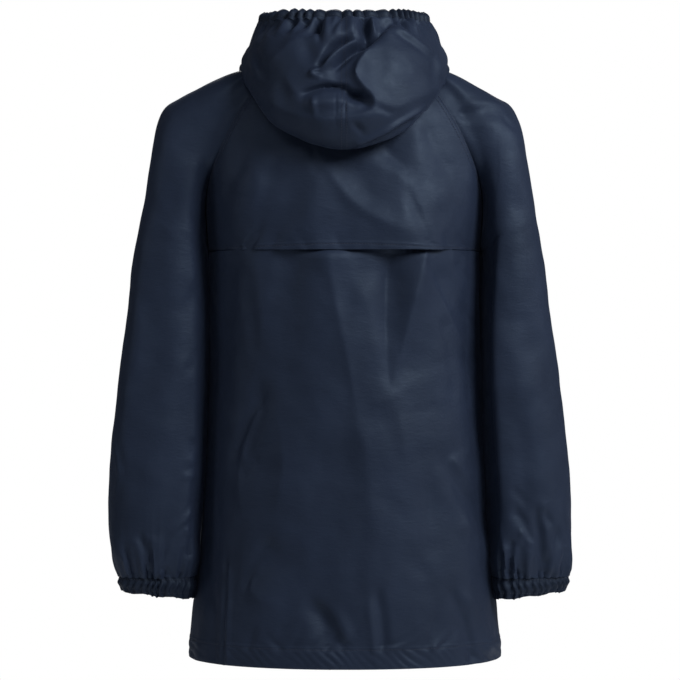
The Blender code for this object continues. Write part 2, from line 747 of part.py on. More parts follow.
def build_coat():
    yoke, back = make_yoke(), make_back()
    fronts = {side: make_front(side) for side in (1, -1)}
    sleeves = {side: make_sleeve(side) for side in (1, -1)}
    hoods = {side: make_hood(side, neckline_of(yoke, sleeves[side], fronts[side], side))
             for side in (1, -1)}
    rim = make_rim(hoods)

    yoke.push(lambda r, c, point: fade_in(c, YOKE_COLUMNS)
              * (body_fold_push(point, YOKE_FOLDS) * min(r / 3.0, 1.0) + vent_lift(point)))
    back.push(lambda r, c, point: fade_in(c, YOKE_COLUMNS)
              * body_fold_push(point, BACK_FOLDS) * smooth_step(-point.z / MM, 186, 215))
    for side in (1, -1):
        fronts[side].push(lambda r, c, point: fade_in(c, FRONT_COLUMNS)
                          * body_fold_push(point, FRONT_FOLDS) * min(r / 3.0, 1.0))

    for side in (1, -1):
        yoke_column = 0 if side > 0 else YOKE_COLUMNS
        sleeve, front, hood = sleeves[side], fronts[side], hoods[side]
        part_edges(yoke, edge_cells(yoke, yoke_column, RAGLAN_ROWS),
                   sleeve, edge_cells(sleeve, 0, RAGLAN_ROWS))
        part_edges(front, edge_cells(front, FRONT_COLUMNS, RAGLAN_ROWS),
                   sleeve, edge_cells(sleeve, SLEEVE_COLUMNS, RAGLAN_ROWS))
        open_side_edge(back, yoke_column, 0, side, 1)
        open_side_edge(front, FRONT_COLUMNS, RAGLAN_ROWS + 1, side, -1)
        set_underarm(yoke, (RAGLAN_ROWS, yoke_column), (-0.3 * side, 0.4, 0), (side, 0, -1))
        set_underarm(front, (RAGLAN_ROWS, FRONT_COLUMNS), (-0.3 * side, -0.4, 0), (side, 0, -1))
        set_underarm(sleeve, (RAGLAN_ROWS, 0), (0.5 * side, 0, 0), (0.01 * side, 0, -1))
        open_neck_edge(sleeve, False)
        open_neck_edge(front, False)
        open_neck_edge(hood, True)
        open_rim_edge(hood)
        open_centre_edge(front, 0, side)
        open_centre_edge(hood, 0, side)
        open_centre_edge(hood, hood.columns() - 1, side)
    open_neck_edge(yoke, False)

    shell = fabric("shell_nylon", COLOUR_SHELL, 0.42)
    gathered = fabric("elastic_casing", COLOUR_ELASTIC, 0.48)
    for sheet in (yoke, back, *fronts.values(), make_storm_flap(), *sleeves.values(),
                  *hoods.values()):
        build_wall(sheet, shell)
    for sheet in (make_cuff(1), make_cuff(-1), rim):
        build_wall(sheet, gathered)


for old in list(bpy.data.objects):
    bpy.data.objects.remove(old, do_unlink=True)
build_coat()
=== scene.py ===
"""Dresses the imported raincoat: navy coated nylon with its folds, gathers, seams and stitches.

Lengths in the tables are millimetres in the coat's own frame: +Z up, the back faces +Y and the
wearer's left is +X. Each cloth is a thin shell on the form of its solid.
"""
import math
from collections import namedtuple

import bmesh
import bpy
import numpy as np
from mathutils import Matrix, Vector, noise


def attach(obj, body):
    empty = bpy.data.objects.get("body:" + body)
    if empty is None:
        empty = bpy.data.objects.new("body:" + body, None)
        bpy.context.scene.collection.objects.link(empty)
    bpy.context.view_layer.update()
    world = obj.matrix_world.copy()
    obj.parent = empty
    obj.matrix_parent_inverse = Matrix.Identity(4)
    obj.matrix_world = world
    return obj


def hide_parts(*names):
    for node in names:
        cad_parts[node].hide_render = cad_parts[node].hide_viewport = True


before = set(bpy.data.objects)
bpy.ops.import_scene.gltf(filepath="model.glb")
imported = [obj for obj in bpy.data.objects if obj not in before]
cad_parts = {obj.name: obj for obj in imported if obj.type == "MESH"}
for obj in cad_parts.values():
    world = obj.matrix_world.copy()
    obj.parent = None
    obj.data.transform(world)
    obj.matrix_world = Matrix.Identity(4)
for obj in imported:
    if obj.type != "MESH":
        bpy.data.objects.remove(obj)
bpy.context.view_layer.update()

MM = 0.001

# ---- the solids' driving sizes, metres ----
FLAP_STAND = 3.0 * MM       # outer face of the storm flap above the fronts
FLAP_HALF_WIDTH = 21 * MM
VENT_HEM_Z = -184 * MM
VENT_OVERLAP = 32 * MM      # how far the back panel runs up under the vent
VENT_SIDE = 112 * MM        # from the centre line to where the overlap ends
VENT_RAMP = 14 * MM
VENT_LAP = 0.7 * MM         # raises the back panel's top edge towards the yoke's, at its ends
CUFF_HEIGHT = 19 * MM
RIM_HEIGHT = 12 * MM
HOOD_CENTRE_Y = 8 * MM

# ---- how the sleeves hang ----
ARM_CLEAR = 0.6 * MM        # from the body's side, before the creases are pushed in
SLEEVE_FLATNESS = 0.60      # 0 leaves a sleeve's section an ellipse
SLEEVE_REST = 14 * MM       # how far a sleeve's inner flank leans onto the body's side
SLEEVE_TURN = {1: 0.0, -1: 0.24}     # how far a sleeve's outer edge lies back, per unit across
REST_OPPOSITE = 1.05        # radians round a sleeve; it leans most on the opposite side
REST_REACH = 0.42

# ---- sizes of the finish, metres ----
CLOTH = 0.9 * MM            # a single layer with its coating
CASING = 2.2 * MM           # a folded casing with elastic in it
HEM_CASING = 20 * MM        # height of the turned-up hem
WEAVE = 0.34 * MM           # from thread to thread
VENT_HEM = 6 * MM           # from the yoke's free edge to its stitching
SEAM_STITCHES = (1.6, 6.4)  # rows of stitches beside a raglan seam, millimetres inside its edge
CUFF_STITCHES = (4.4, 19.4)
RIM_STITCH = 4.2 * MM
FLAP_STITCH = 5 * MM
HOOD_STITCH = 2.6 * MM
STITCH_PITCH, STITCH_LENGTH = 3.0 * MM, 2.2 * MM
THREAD_WIDTH, THREAD_LIFT = 0.42 * MM, 0.12 * MM
THREAD_SIDES = 6

# ---- the cloths' grids: steps across ----
YOKE_COLUMNS, BACK_COLUMNS, FRONT_COLUMNS, SLEEVE_COLUMNS, HOOD_COLUMNS = 150, 250, 84, 140, 185
CUFF_STEPS, RIM_STEPS = 10, 11      # to a gather

# ---- gathers ----
CUFF_GATHERS = 37
RIM_GATHERS = 50
CUFF_SEED, RIM_SEED = 1.0, 2.0
MEAN_WAVE = 0.55            # of gather_wave
CUFF_GATHER, RIM_GATHER = 5.0, 3.8   # height of the gathers beside a casing, millimetres
CAUGHT = 2.2                # how far a casing's edge runs into the cloth it closes, millimetres

# ---- sections, as the solids have them ----
Station = namedtuple("Station", "back_x back_z mid_back_z front_x front_z mid_front_z "
                     "over_x over_z half back_depth front_depth square arm_depth turn uneven")
RAGLAN = [Station(*row) for row in (
    (60.0,   11,    8,  58.0,  -14,  -38,  78.0,  16.0,  78.0,  62.0,  62.0, 2.00, 50.0, -1.0, 0.0),
    (77.0,   -2,   -4,  75.0,  -30,  -52,  98.0,  10.0, 101.0,  73.0,  75.0, 2.20, 63.0, -1.0, 1.5),
    (91.5,  -14,  -18,  90.0,  -46,  -64, 119.0,   3.0, 120.0,  83.0,  84.0, 2.35, 72.0, -1.0, 3.0),
    (105.0, -32,  -36, 103.0,  -64,  -80, 141.5,  -9.0, 134.0,  91.5,  92.0, 2.45, 76.0, -1.0, 4.5),
    (119.0, -56,  -59, 116.0,  -86, -100, 163.0, -19.5, 143.5,  97.5,  98.0, 2.50, 74.0, -0.5, 5.5),
    (131.0, -82,  -84, 128.0, -108, -118, 182.0, -30.5, 149.0, 101.5, 102.0, 2.50, 70.0,  0.5, 5.5),
    (140.5, -107, -108, 137.5, -130, -137, 191.5, -52.0, 151.0, 104.5, 105.0, 2.50, 68.0, 1.0, 5.5),
    (145.0, -131, -131, 142.5, -150, -155, 197.0, -85.0, 150.0, 106.5, 106.5, 2.45, 66.5, 1.0, 5.5),
    (145.0, -157, -157, 144.5, -168, -171, 203.0, -117.0, 147.0, 107.5, 107.5, 2.40, 65.0, 1.0, 5.5),
    (143.5, -182, -184, 143.5, -182, -182, 209.0, -156.0, 143.5, 108.0, 108.0, 2.35, 63.0, 1.0, 5.5),
)]
UNDERARM = len(RAGLAN) - 1

Girth = namedtuple("Girth", "z half back_depth front_depth square")
BODY = [Girth(*row) for row in (
    (-145, 145.5, 107.0, 106.5, 2.42),
    (-182, 143.5, 108.0, 108.0, 2.35),
    (-230, 143.5, 109.0, 110.0, 2.30),
    (-300, 144.0, 111.0, 112.0, 2.30),
    (-380, 146.0, 114.5, 115.0, 2.30),
    (-450, 149.0, 118.5, 119.0, 2.30),
    (-510, 153.0, 122.5, 123.0, 2.30),
    (-560, 158.5, 126.0, 127.0, 2.30),
    (-609, 161.0, 129.0, 130.0, 2.30),
)]
HEM_Z = BODY[-1].z

Sleeve = namedtuple("Sleeve", "in_z in_x out_z out_x depth y uneven")
SLEEVE = [Sleeve(*row) for row in (
    (-182, 143.5, -156, 209.0, 63.0,  0.0, 5.5),
    (-212, 144.0, -196, 216.0, 63.0,  1.5, 5.5),
    (-250, 144.5, -240, 221.0, 62.0,  3.0, 5.5),
    (-295, 144.5, -288, 227.5, 60.0,  5.0, 5.0),
    (-340, 145.0, -335, 233.5, 58.0,  7.0, 4.5),
    (-385, 146.0, -382, 238.5, 56.0,  9.0, 4.5),
    (-425, 147.5, -424, 243.0, 54.0, 11.5, 4.0),
    (-462, 149.0, -462, 245.0, 52.0, 13.5, 3.5),
    (-492, 150.0, -492, 244.0, 49.5, 15.5, 3.0),
    (-510, 152.0, -510, 240.0, 45.0, 16.5, 1.5),
    (-523, 155.0, -523, 236.0, 38.5, 17.5, 0.0),
)]

HOOD_BEARINGS = (0, 30, 60, 90, 135, 180)
HoodStep = namedtuple("HoodStep", "r0 r30 r60 r90 r135 r180 z0 z30 z60 z90 z135 z180")
HOOD = [HoodStep(*row) for row in (
    (58.0,  66.0,  77.0,  80.0, 76.0, 71.0,  20,  21,  25, 27, -12, -33),
    (69.0,  74.0,  83.0,  86.0, 79.0, 72.5,  26,  27,  30, 33,  -9, -30),
    (82.0,  86.0,  91.0,  92.0, 82.0, 74.0,   6,  10,  21, 31,  -6, -26),
    (91.0,  96.0,  99.0,  98.0, 86.0, 75.5, -28, -18,   6, 24,  -2, -22),
    (98.0, 102.0, 106.0, 103.0, 89.0, 77.0, -64, -46,  -6, 17,   2, -18),
    (106.0, 109.0, 113.0, 108.0, 91.0, 78.5, -80, -63, -14, 13,   6, -14),
    (117.0, 118.0, 117.0, 107.5, 92.0, 80.0, -82, -64, -13, 17,  10, -10),
    (128.0, 127.0, 117.0, 104.0, 92.0, 81.0, -68, -50,  -3, 24,  14,  -6),
    (134.0, 131.0, 115.0, 101.0, 91.5, 82.0, -38, -22,  12, 32,  19,  -2),
    (130.0, 127.0, 111.0,  98.5, 90.5, 82.5,  -2,   8,  28, 40,  24,   2),
    (116.0, 114.0, 104.0,  94.5, 89.0, 82.5,  32,  36,  43, 49,  29,   5),
    (95.0,  98.0,  95.0,  89.0, 87.0, 82.0,  53,  54,  55, 56,  34,   8),
)]
LOWEST_FOLD = 5.6           # place in HOOD where the hood turns up on its outside

# How far the yoke's free edge stands off the back, by place across it.
VentLift = namedtuple("VentLift", "x lift")
VENT_LIFTS = [VentLift(*row) for row in (
    (-150, 0.0), (-125, 0.3), (-108, 2.4), (-84, 10.5), (-66, 13.5), (-44, 10.5), (-15, 6.5),
    (4, 4.2), (35, 2.8), (80, 2.4), (108, 1.6), (122, 0.3), (150, 0.0))]

# ---- folds ----
# A crease runs from (x0, z0) to (x1, z1), seen along Y, and bows sideways by `bow` in between.
# push0 and push1 are how far it lifts (above 0) or sinks (below 0) the cloth at its two ends.
# width is the reach of its slope. Lean above 0 makes the slope on the left of its direction wider
# and the other one steeper, and below 0 the reverse.
Crease = namedtuple("Crease", "x0 z0 x1 z1 push0 push1 width bow lean", defaults=(0, 0))


def creases(*rows):
    return [Crease(*row) for row in rows]


# The forms that the solids have too.
BACK_FORMS = creases(
    (-50, -190, -60, -300, -5, -4, 16), (-86, -188, -58, -290, 2.5, 1.5, 15),
    (18, -190, -10, -330, -3.5, -3.5, 17), (-10, -330, -34, -470, -3, -3, 18),
    (-98, -210, -140, -305, -3.5, -3.5, 14), (-112, -400, -146, -470, -3.5, -3.5, 15),
    (88, -340, 112, -400, -3.5, -3.5, 14), (82, -490, 104, -535, -3, -3, 13),
)
YOKE_FORMS = creases(
    (84, -95, 112, -150, 3, 3, 15), (34, -70, -24, -130, -3, -3, 17),
    (-70, -60, -92, -130, 2.5, 2.5, 16),
)
FRONT_FORMS = creases(
    (-96, -190, -60, -330, -3.5, -3.5, 17), (70, -170, 96, -300, -3.5, -3.5, 17),
    (-50, -360, -74, -500, -3, -3, 18), (58, -390, 40, -540, -3, -3, 18),
    (110, -420, 140, -480, -3.5, -3.5, 15),
)
# By row of SLEEVE and share of a turn: from and to, push and width.
SLEEVE_FORMS = ((1.0, 0.12, 3.5, 0.30, -3.0, 0.05), (4.5, 0.16, 7.5, 0.08, -3.5, 0.05),
                (6.0, 0.36, 8.0, 0.44, -3.0, 0.05), (2.0, 0.70, 5.0, 0.82, -3.5, 0.06),
                (5.5, 0.78, 8.0, 0.68, -3.0, 0.06))
SLEEVE_ROW = 0.11           # share of a turn that is as long as a row of SLEEVE

# Creases of the cloths alone.
BACK = creases(
    # short creases at the sides
    (86, -338, 112, -392, -1.6, -2.4, 4.5, -3, 0.4), (91, -350, 106, -396, 1.2, 1.6, 4, -2),
    (92, -400, 104, -412, -1.2, -0.8, 4), (98, -236, 88, -330, -1.4, -1, 9, 4),
    (78, -484, 101, -526, -1.2, -2.4, 4, -2, 0.4), (83, -494, 98, -520, 1, 1.4, 4, -2),
    (112, -478, 118, -540, -1.2, -1.6, 7), (-104, -262, -112, -330, -1.4, -0.8, 6, 2),
    (-128, -246, -139, -262, -1.6, -1.2, 4), (-120, -200, -132, -214, -1.4, -1, 4),
    (-112, -192, -116, -212, 1.2, 0.6, 4), (-132, -330, -142, -380, -1.8, -1.4, 6),
    (-140, -300, -134, -345, 1.4, 0.8, 5), (-70, -500, -96, -560, -1.2, -1, 9, 3),
    # long soft waves
    (52, -200, 60, -330, -1.5, -1.1, 14, 5), (66, -330, 44, -480, 1.3, 1.2, 18, 6, 0.3),
    (32, -250, 40, -420, 1.2, 0.8, 17), (46, -470, 60, -580, -1.2, -1.2, 14),
    (118, -210, 126, -330, -2.2, -1.6, 9), (-20, -470, -8, -560, -1.2, -0.8, 12),
    (2, -350, 20, -450, -1, -0.8, 15, 4), (-96, -340, -104, -430, 1.2, 1, 12),
    (72, -206, 100, -248, 1.3, 0.6, 9, 4), (-18, -232, -36, -300, 1.2, 0.8, 9, 3, 0.3),
    # near the hem
    (-110, -538, -130, -600, -3, -5.2, 6, 3, 0.3), (-126, -545, -147, -594, 2.4, 3.4, 7, 3, -0.3),
    (-34, -536, -40, -584, -2.6, -3.2, 5.5, 1), (-25, -548, -30, -586, 1.2, 1.6, 4.5),
    (31, -546, 7, -578, -2.4, -3.6, 8, 3, 0.3), (20, -542, -3, -574, 1.2, 1.6, 6, 3),
    (-44, -588, -82, -572, 1.6, 0.7, 3.4, -2), (-50, -580, -74, -566, 1.1, 0.5, 3, -2),
    (-48, -584, -78, -569, -1.1, -0.6, 3, -2), (-91, -588, -106, -574, 1.6, 0.9, 3.2),
    (-96, -588, -114, -572, -1.3, -0.9, 3.4), (-84, -586, -92, -560, -1.2, -0.8, 4),
    (79, -577, 66, -588, -1.2, -1.6, 3.4), (64, -570, 50, -563, -1.3, -0.8, 4),
    (34, -587, 20, -577, -1.5, -1, 3.2), (17, -588, 6, -574, -1.5, -0.9, 3),
    (1, -586, -13, -572, -1.4, -0.9, 3.2), (52, -586, 44, -570, -1, -0.7, 3.6),
    (98, -588, 92, -570, -1.2, -0.6, 4), (-120, -588, -112, -566, -1, -0.6, 4),
    (124.5, -505, 123.5, -606, -1.9, -1.9, 1.8), (121, -515, 119.5, -604, 1.2, 1.2, 3),
    (138, -540, 134, -600, -1.6, -1.8, 5, 2), (146, -560, 150, -606, 1.2, 1.6, 5),
)
# A bent fold runs smoothly through points (x, z, push). Its top is rounded where crest is 0. Above
# that it is sharp, and crest is the rounded part's share of the reach.
Fold = namedtuple("Fold", "width path lean crest", defaults=(0, 0))
Bend = namedtuple("Bend", "x z push")


def folds(*rows):
    return [Fold(*row) for row in rows]


# Flat faces of the back and its longer creases.
BACK_FOLDS = folds(
    (60, ((17.4, -180, 9.5), (9.3, -235, 12.5), (-6, -309, 11.5), (-8, -357, 8), (-18, -388, 7),
        (-24, -438, 7), (-23, -479, 6.5), (-26, -550, 4.5)), -0.06, 0.08),
    (17, ((18, -190, 4), (-10, -330, 3.8), (-34, -470, 3))),
    (19, ((-47.5, -184, -10), (-43.5, -248, -9), (-44.5, -309, -6), (-52, -332, 0)), 0, 0.1),
    (17, ((-82, -184, 10.5), (-65, -262, 8), (-50, -316, 3), (-46, -345, 0)), 0.35, 0.1),
    (7, ((-88, -212, 1.5), (-116, -262, 3.6), (-137, -305, 2.4)), 0.25, 0.15),
    (6, ((-128, -286, -1.5), (-132, -300, -3.6), (-137, -326, -2))),
    (9, ((-108, -394, 0.5), (-115, -405, 4.6), (-137, -440, 2)), -0.2, 0.15),
    (7, ((-98, -396, -1), (-106, -412, -3.4), (-126, -446, -1))),
    (9, ((-118, -460, 0.5), (-128, -473, 3.2), (-154, -514, 1.6)), -0.2, 0.15),
    (12, ((-89, -396, -0.5), (-89, -440, -3.6), (-90, -505, -0.5))),
    (24, ((-52, -330, 1), (-58, -370, 4.2), (-62, -420, 1)), 0.1, 0.1),
    (17, ((46, -478, -1), (66, -500, -4.6), (84, -518, -1)), 0.1),
    (15, ((108, -516, 0.5), (92, -535, 4.2), (66, -548, 1)), 0, 0.1),
    (12, ((24, -536, -0.5), (22, -556, -4.6), (18, -584, -2))),
    (22, ((92, -190, 1.5), (84, -260, 3.4), (96, -330, 0.5)), 0, 0.1),
    (20, ((58, -186, -3.6), (64, -240, -2.4), (74, -330, -0.5)), -0.2),
    (16, ((70, -340, 0.5), (62, -400, 3), (72, -460, 0.5)), 0, 0.1),
    (14, ((104, -350, 0), (110, -410, 2.6), (104, -470, 0)), 0, 0.1),
    (46, ((-116, -300, 0.5), (-122, -400, 5.5), (-124, -500, 6.5), (-126, -580, 3)), 0.5, 0.1),
)
YOKE_FOLDS = folds(
    (44, ((30, -60, 2), (28, -84, 6), (29, -130, 7.5), (28, -184, 6)), 0.1, 0.08),
    (17, ((22, -94, 1), (13, -110, 4.4), (-4, -133, 5.6), (-32, -153, 5),
        (-64, -166, 1)), -0.55, 0.1),
    (22, ((-46, -88, 1), (-58, -112, 4.4), (-77, -150, 3), (-84, -180, 1)), 0, 0.1),
    (5.5, ((-62, -118, -0.5), (-70, -138, -2.2), (-84, -172, -1.6)), 0.3),
    (12, ((-36, -72, -2.6), (-52, -92, -3.4), (-72, -110, -0.5))),
    (20, ((96, -84, 0.5), (88, -120, 3), (98, -160, 0.5)), 0, 0.1),
    (16, ((62, -80, -0.5), (60, -120, -2.8), (68, -170, -2))),
    (5, ((80, -152, -0.5), (92, -166, -2.4), (106, -181, -2.8))),
    (4, ((82, -162, -0.5), (88, -169, -2), (97, -181, -2.2))),
)
YOKE = creases(
    (92, -160, 105, -181, 1, 1.4, 3.4, -2),
    (75, -108, 96, -156, -1.6, -1.2, 8, 3), (60, -90, 66, -140, 1.1, 0.9, 12, 3),
    (33, -84, 28, -102, -1.6, -0.8, 4), (-20, -92, -62, -112, 1.4, 1.2, 10, 3),
    (-88, -62, -106, -96, -1.4, -1.2, 7, -3), (-106, -130, -118, -168, 1.4, 1, 9),
    (104, -84, 120, -120, -1.3, -1, 7, 3), (46, -168, 36, -183, -0.9, -1.1, 4),
    (8, -172, 2, -183, -0.7, -1, 4), (-104, -172, -110, -184, -1, -1.2, 4),
    (-120, -170, -128, -183, -1.2, -1.4, 4), (68, -172, 74, -184, -0.8, -1, 4),
    (-46, -84, -58, -96, -1, -0.8, 5),
)
FRONT = creases(
    (-112, -196, -76, -300, -1.8, -1.2, 6, 5, 0.4),
    (-104, -190, -66, -290, 1.8, 1.2, 7, 5, -0.3), (98, -188, 70, -270, -2.2, -1, 6, -5, 0.3),
    (106, -196, 82, -286, 1.8, 1, 6, -4), (-118, -330, -92, -380, -2, -1.2, 5, 4, 0.3),
    (-124, -338, -98, -392, 1.4, 1.2, 5, 4), (116, -340, 96, -400, -2, -1.4, 5, -4, 0.3),
    (122, -350, 104, -408, 1.5, 1.2, 5, -4), (-40, -150, -52, -260, 1.4, 1.2, 13, 4),
    (46, -130, 58, -240, 1.5, 1.2, 12, -4), (-66, -96, -92, -140, -1.8, -1.4, 8, 4, 0.3),
    (62, -90, 90, -146, -1.8, -1.4, 8, -4), (-34, -280, -44, -430, -1.2, -1.4, 13, 3),
    (38, -270, 30, -420, -1.3, -1.1, 13, 3), (-90, -430, -104, -540, 1.8, 1.4, 12, 3, 0.3),
    (92, -440, 78, -560, 1.8, 1.4, 12, 3, 0.3), (-118, -500, -106, -560, -1.8, -2, 6, 2),
    (118, -516, 108, -572, -1.8, -2.2, 6, 2), (-60, -546, -66, -588, -1.4, -2.2, 5),
    (54, -552, 60, -588, -1.2, -2, 5), (-32, -572, -36, -588, -1, -1.4, 4),
    (34, -570, 38, -588, -1, -1.5, 4), (-88, -572, -82, -588, -1, -1.4, 4),
    (84, -570, 92, -588, -1, -1.4, 4), (-130, -562, -126, -590, -1.2, -1.6, 4),
    (132, -560, 126, -590, -1.2, -1.6, 4),
)
LEFT_SLEEVE_BACK = creases(
    # around the elbow, on the inner side
    (140, -358, 128, -372, -1.6, -1.8, 6), (152, -384, 132, -396, -2.4, -3.4, 6, 2, 0.3),
    (162, -418, 132, -422, 1.8, 2.6, 4, 2), (158, -402, 138, -406, 1.4, 2, 5, 2),
    (147, -429, 132, -434, -4.6, -5, 5.5, 0, 0.3), (144, -436, 131, -446, 3.2, 3.2, 3.6, 1),
    (148, -438, 138, -450, -2.6, -2, 2.8, 1), (160, -428, 168, -452, 1.2, 0.8, 5, 2),
    # running up from the cuff
    (143, -452, 159, -498, -2.8, -3.4, 3.8, -2, 0.3), (137, -456, 146, -484, 2, 2, 3.4, -2),
    (160, -456, 187, -508, 2.6, 1.6, 3.8, -5, -0.3), (168, -470, 190, -512, -1.8, -2.8, 3, -4),
    (162, -474, 152, -490, 1.8, 1.4, 3.4, 2), (140, -484, 147, -520, -3.2, -3.4, 3, 0, 0.2),
    (135, -486, 139, -516, 2, 1.8, 3), (154, -494, 158, -520, 1.4, 2.2, 3.4),
    (166, -496, 170, -520, -1.4, -2.4, 3.6), (210, -482, 201, -516, -2.8, -3.8, 4.6, 3, 0.3),
    (216, -486, 208, -516, 1.6, 1.8, 4.2, 2), (196, -486, 193, -518, 1.8, 2.4, 4.8),
    (228, -494, 220, -518, -1.8, -2.4, 3.6, 1), (180, -500, 182, -520, -1.2, -2.4, 3.2),
    (236, -488, 228, -516, 1.2, 1.6, 3.6, 1),
    # outer edge
    (237, -386, 233, -410, 1.4, 1.8, 3.2), (233, -410, 239, -434, 1.8, 1.2, 3.2),
    (231, -390, 230, -412, -1.4, -1.2, 3.2),
    # long soft forms of the arm
    (172, -178, 186, -360, 1.6, 2, 17, 4), (196, -240, 214, -420, -1.4, -1.4, 14, 3),
    (160, -196, 158, -330, -1.8, -1.4, 11), (204, -330, 206, -440, 1.2, 1, 13),
    (176, -420, 190, -466, -1.4, -1, 9, 3), (212, -250, 216, -300, 1, 0.8, 6),
    (150, -200, 170, -232, 1.4, 0.8, 7, 3), (178, -130, 188, -170, -1, -1, 9),
    (150, -292, 168, -312, -1.2, -0.8, 6, 2),
)
RIGHT_SLEEVE_BACK = creases(
    (-199, -454, -206, -516, -3.2, -4.4, 4.6, 1, 0.2), (-206, -456, -214, -512, 1.6, 1.8, 4.4, 2),
    (-209, -456, -229, -486, -3, -2.6, 3.8, -1, 0.3), (-216, -470, -232, -490, 1.8, 1.8, 3.4),
    (-223, -478, -211, -506, -2.2, -2.6, 5.2, 1), (-216, -492, -222, -518, 1.6, 2, 4),
    (-180, -456, -192, -480, -2.6, -2.2, 5, 2, 0.3), (-184, -476, -192, -486, 2.4, 1.8, 2.8),
    (-173, -488, -171, -516, -3, -3.6, 3.6, 1), (-167, -494, -168, -518, 1.8, 2.2, 3.4),
    (-182, -492, -182, -518, -2.4, -3, 3.4), (-177, -492, -176, -518, 1.8, 2, 3),
    (-157, -468, -164, -492, 2.2, 1.8, 3.4), (-158, -480, -162, -512, -2.6, -2.6, 3.6),
    (-192, -496, -191, -518, 1.4, 2, 3.6), (-232, -490, -226, -518, -1.6, -2.4, 3.6),
    (-238, -480, -234, -514, 1.2, 1.4, 3.6), (-196, -504, -199, -520, -1, -2, 3),
    (-177, -433, -186, -442, -1.6, -1, 3.4), (-222, -340, -230, -352, -1, -0.8, 5),
    # long soft forms of the arm
    (-176, -170, -188, -350, 1.8, 1.8, 17, -4), (-200, -300, -204, -440, 1.8, 1.4, 14),
    (-164, -190, -166, -350, -1.8, -1.4, 11), (-216, -330, -226, -430, -1.3, -1, 9, 2),
    (-182, -350, -186, -452, -1.4, -1.6, 10, 2), (-206, -448, -190, -456, 1.2, 1, 6),
    (-150, -200, -168, -238, 1.4, 0.8, 7, 3), (-182, -140, -196, -180, -1, -1, 9),
    # across the shoulder
    (-110, -44, -172, -33, -2.6, -1, 5.5, 3, 0.4), (-112, -38, -168, -28, 2, 0.8, 6, 3),
    (-120, -54, -160, -50, 1.2, 0.8, 6, 2), (-172, -44, -180, -52, -2, -1.6, 4),
)
SLEEVE_FRONT = creases(         # for the left sleeve; the right one has them mirrored
    (150, -388, 176, -404, -3, -1.4, 6, 2, 0.3), (150, -398, 180, -416, 2.4, 1.2, 5, 2),
    (148, -414, 172, -438, -3.4, -1.6, 5, 2, 0.3), (150, -436, 168, -462, 2.2, 1.2, 4, 2),
    (160, -200, 184, -300, 1.8, 1.2, 12, 4, 0.3), (182, -280, 176, -400, -1.8, -1.2, 12, 4),
    (214, -300, 218, -420, 1.4, 1.2, 12), (168, -330, 152, -360, -2, -2.2, 6, 2),
    (158, -462, 166, -518, -2.2, -3.2, 4, 2), (178, -470, 182, -518, -2.4, -3.4, 4.4, 2),
    (170, -480, 174, -518, 1.6, 2.2, 4), (200, -464, 196, -518, -2.4, -3.6, 4.6, 2, 0.2),
    (214, -482, 208, -518, 1.6, 2.2, 4.2, 1), (222, -474, 216, -518, -2, -3, 4, 1),
    (234, -490, 228, -518, -1.4, -2.2, 3.8), (188, -492, 189, -518, 1.4, 2.2, 4),
    (148, -484, 154, -518, -2, -3, 3.6), (110, -62, 164, -44, -2.2, -1, 7, 3, 0.3),
    (120, -76, 166, -66, 1.4, 0.8, 8, 2),
)
LEFT_SLEEVE_FOLDS = folds(
    (15, ((204, -150, 0.5), (212, -220, 3.4), (221, -300, 4.4), (229, -390, 3.6),
        (231, -440, 0.5)), -0.4, 0.2),
)
RIGHT_SLEEVE_FOLDS = folds(
    (16, ((-160, -120, 1), (-158, -180, 6), (-159, -300, 8), (-162, -400, 6.5),
        (-166, -455, 1)), -0.5, 0.2),
)
# Where the cloths fold in under the arms: place across, half width, depth and how far down.
Tuck = namedtuple("Tuck", "x width depth until")
TUCKS = (Tuck(141.5, 8.0, 14.0, 560), Tuck(-143.0, 6.0, 8.0, 230))

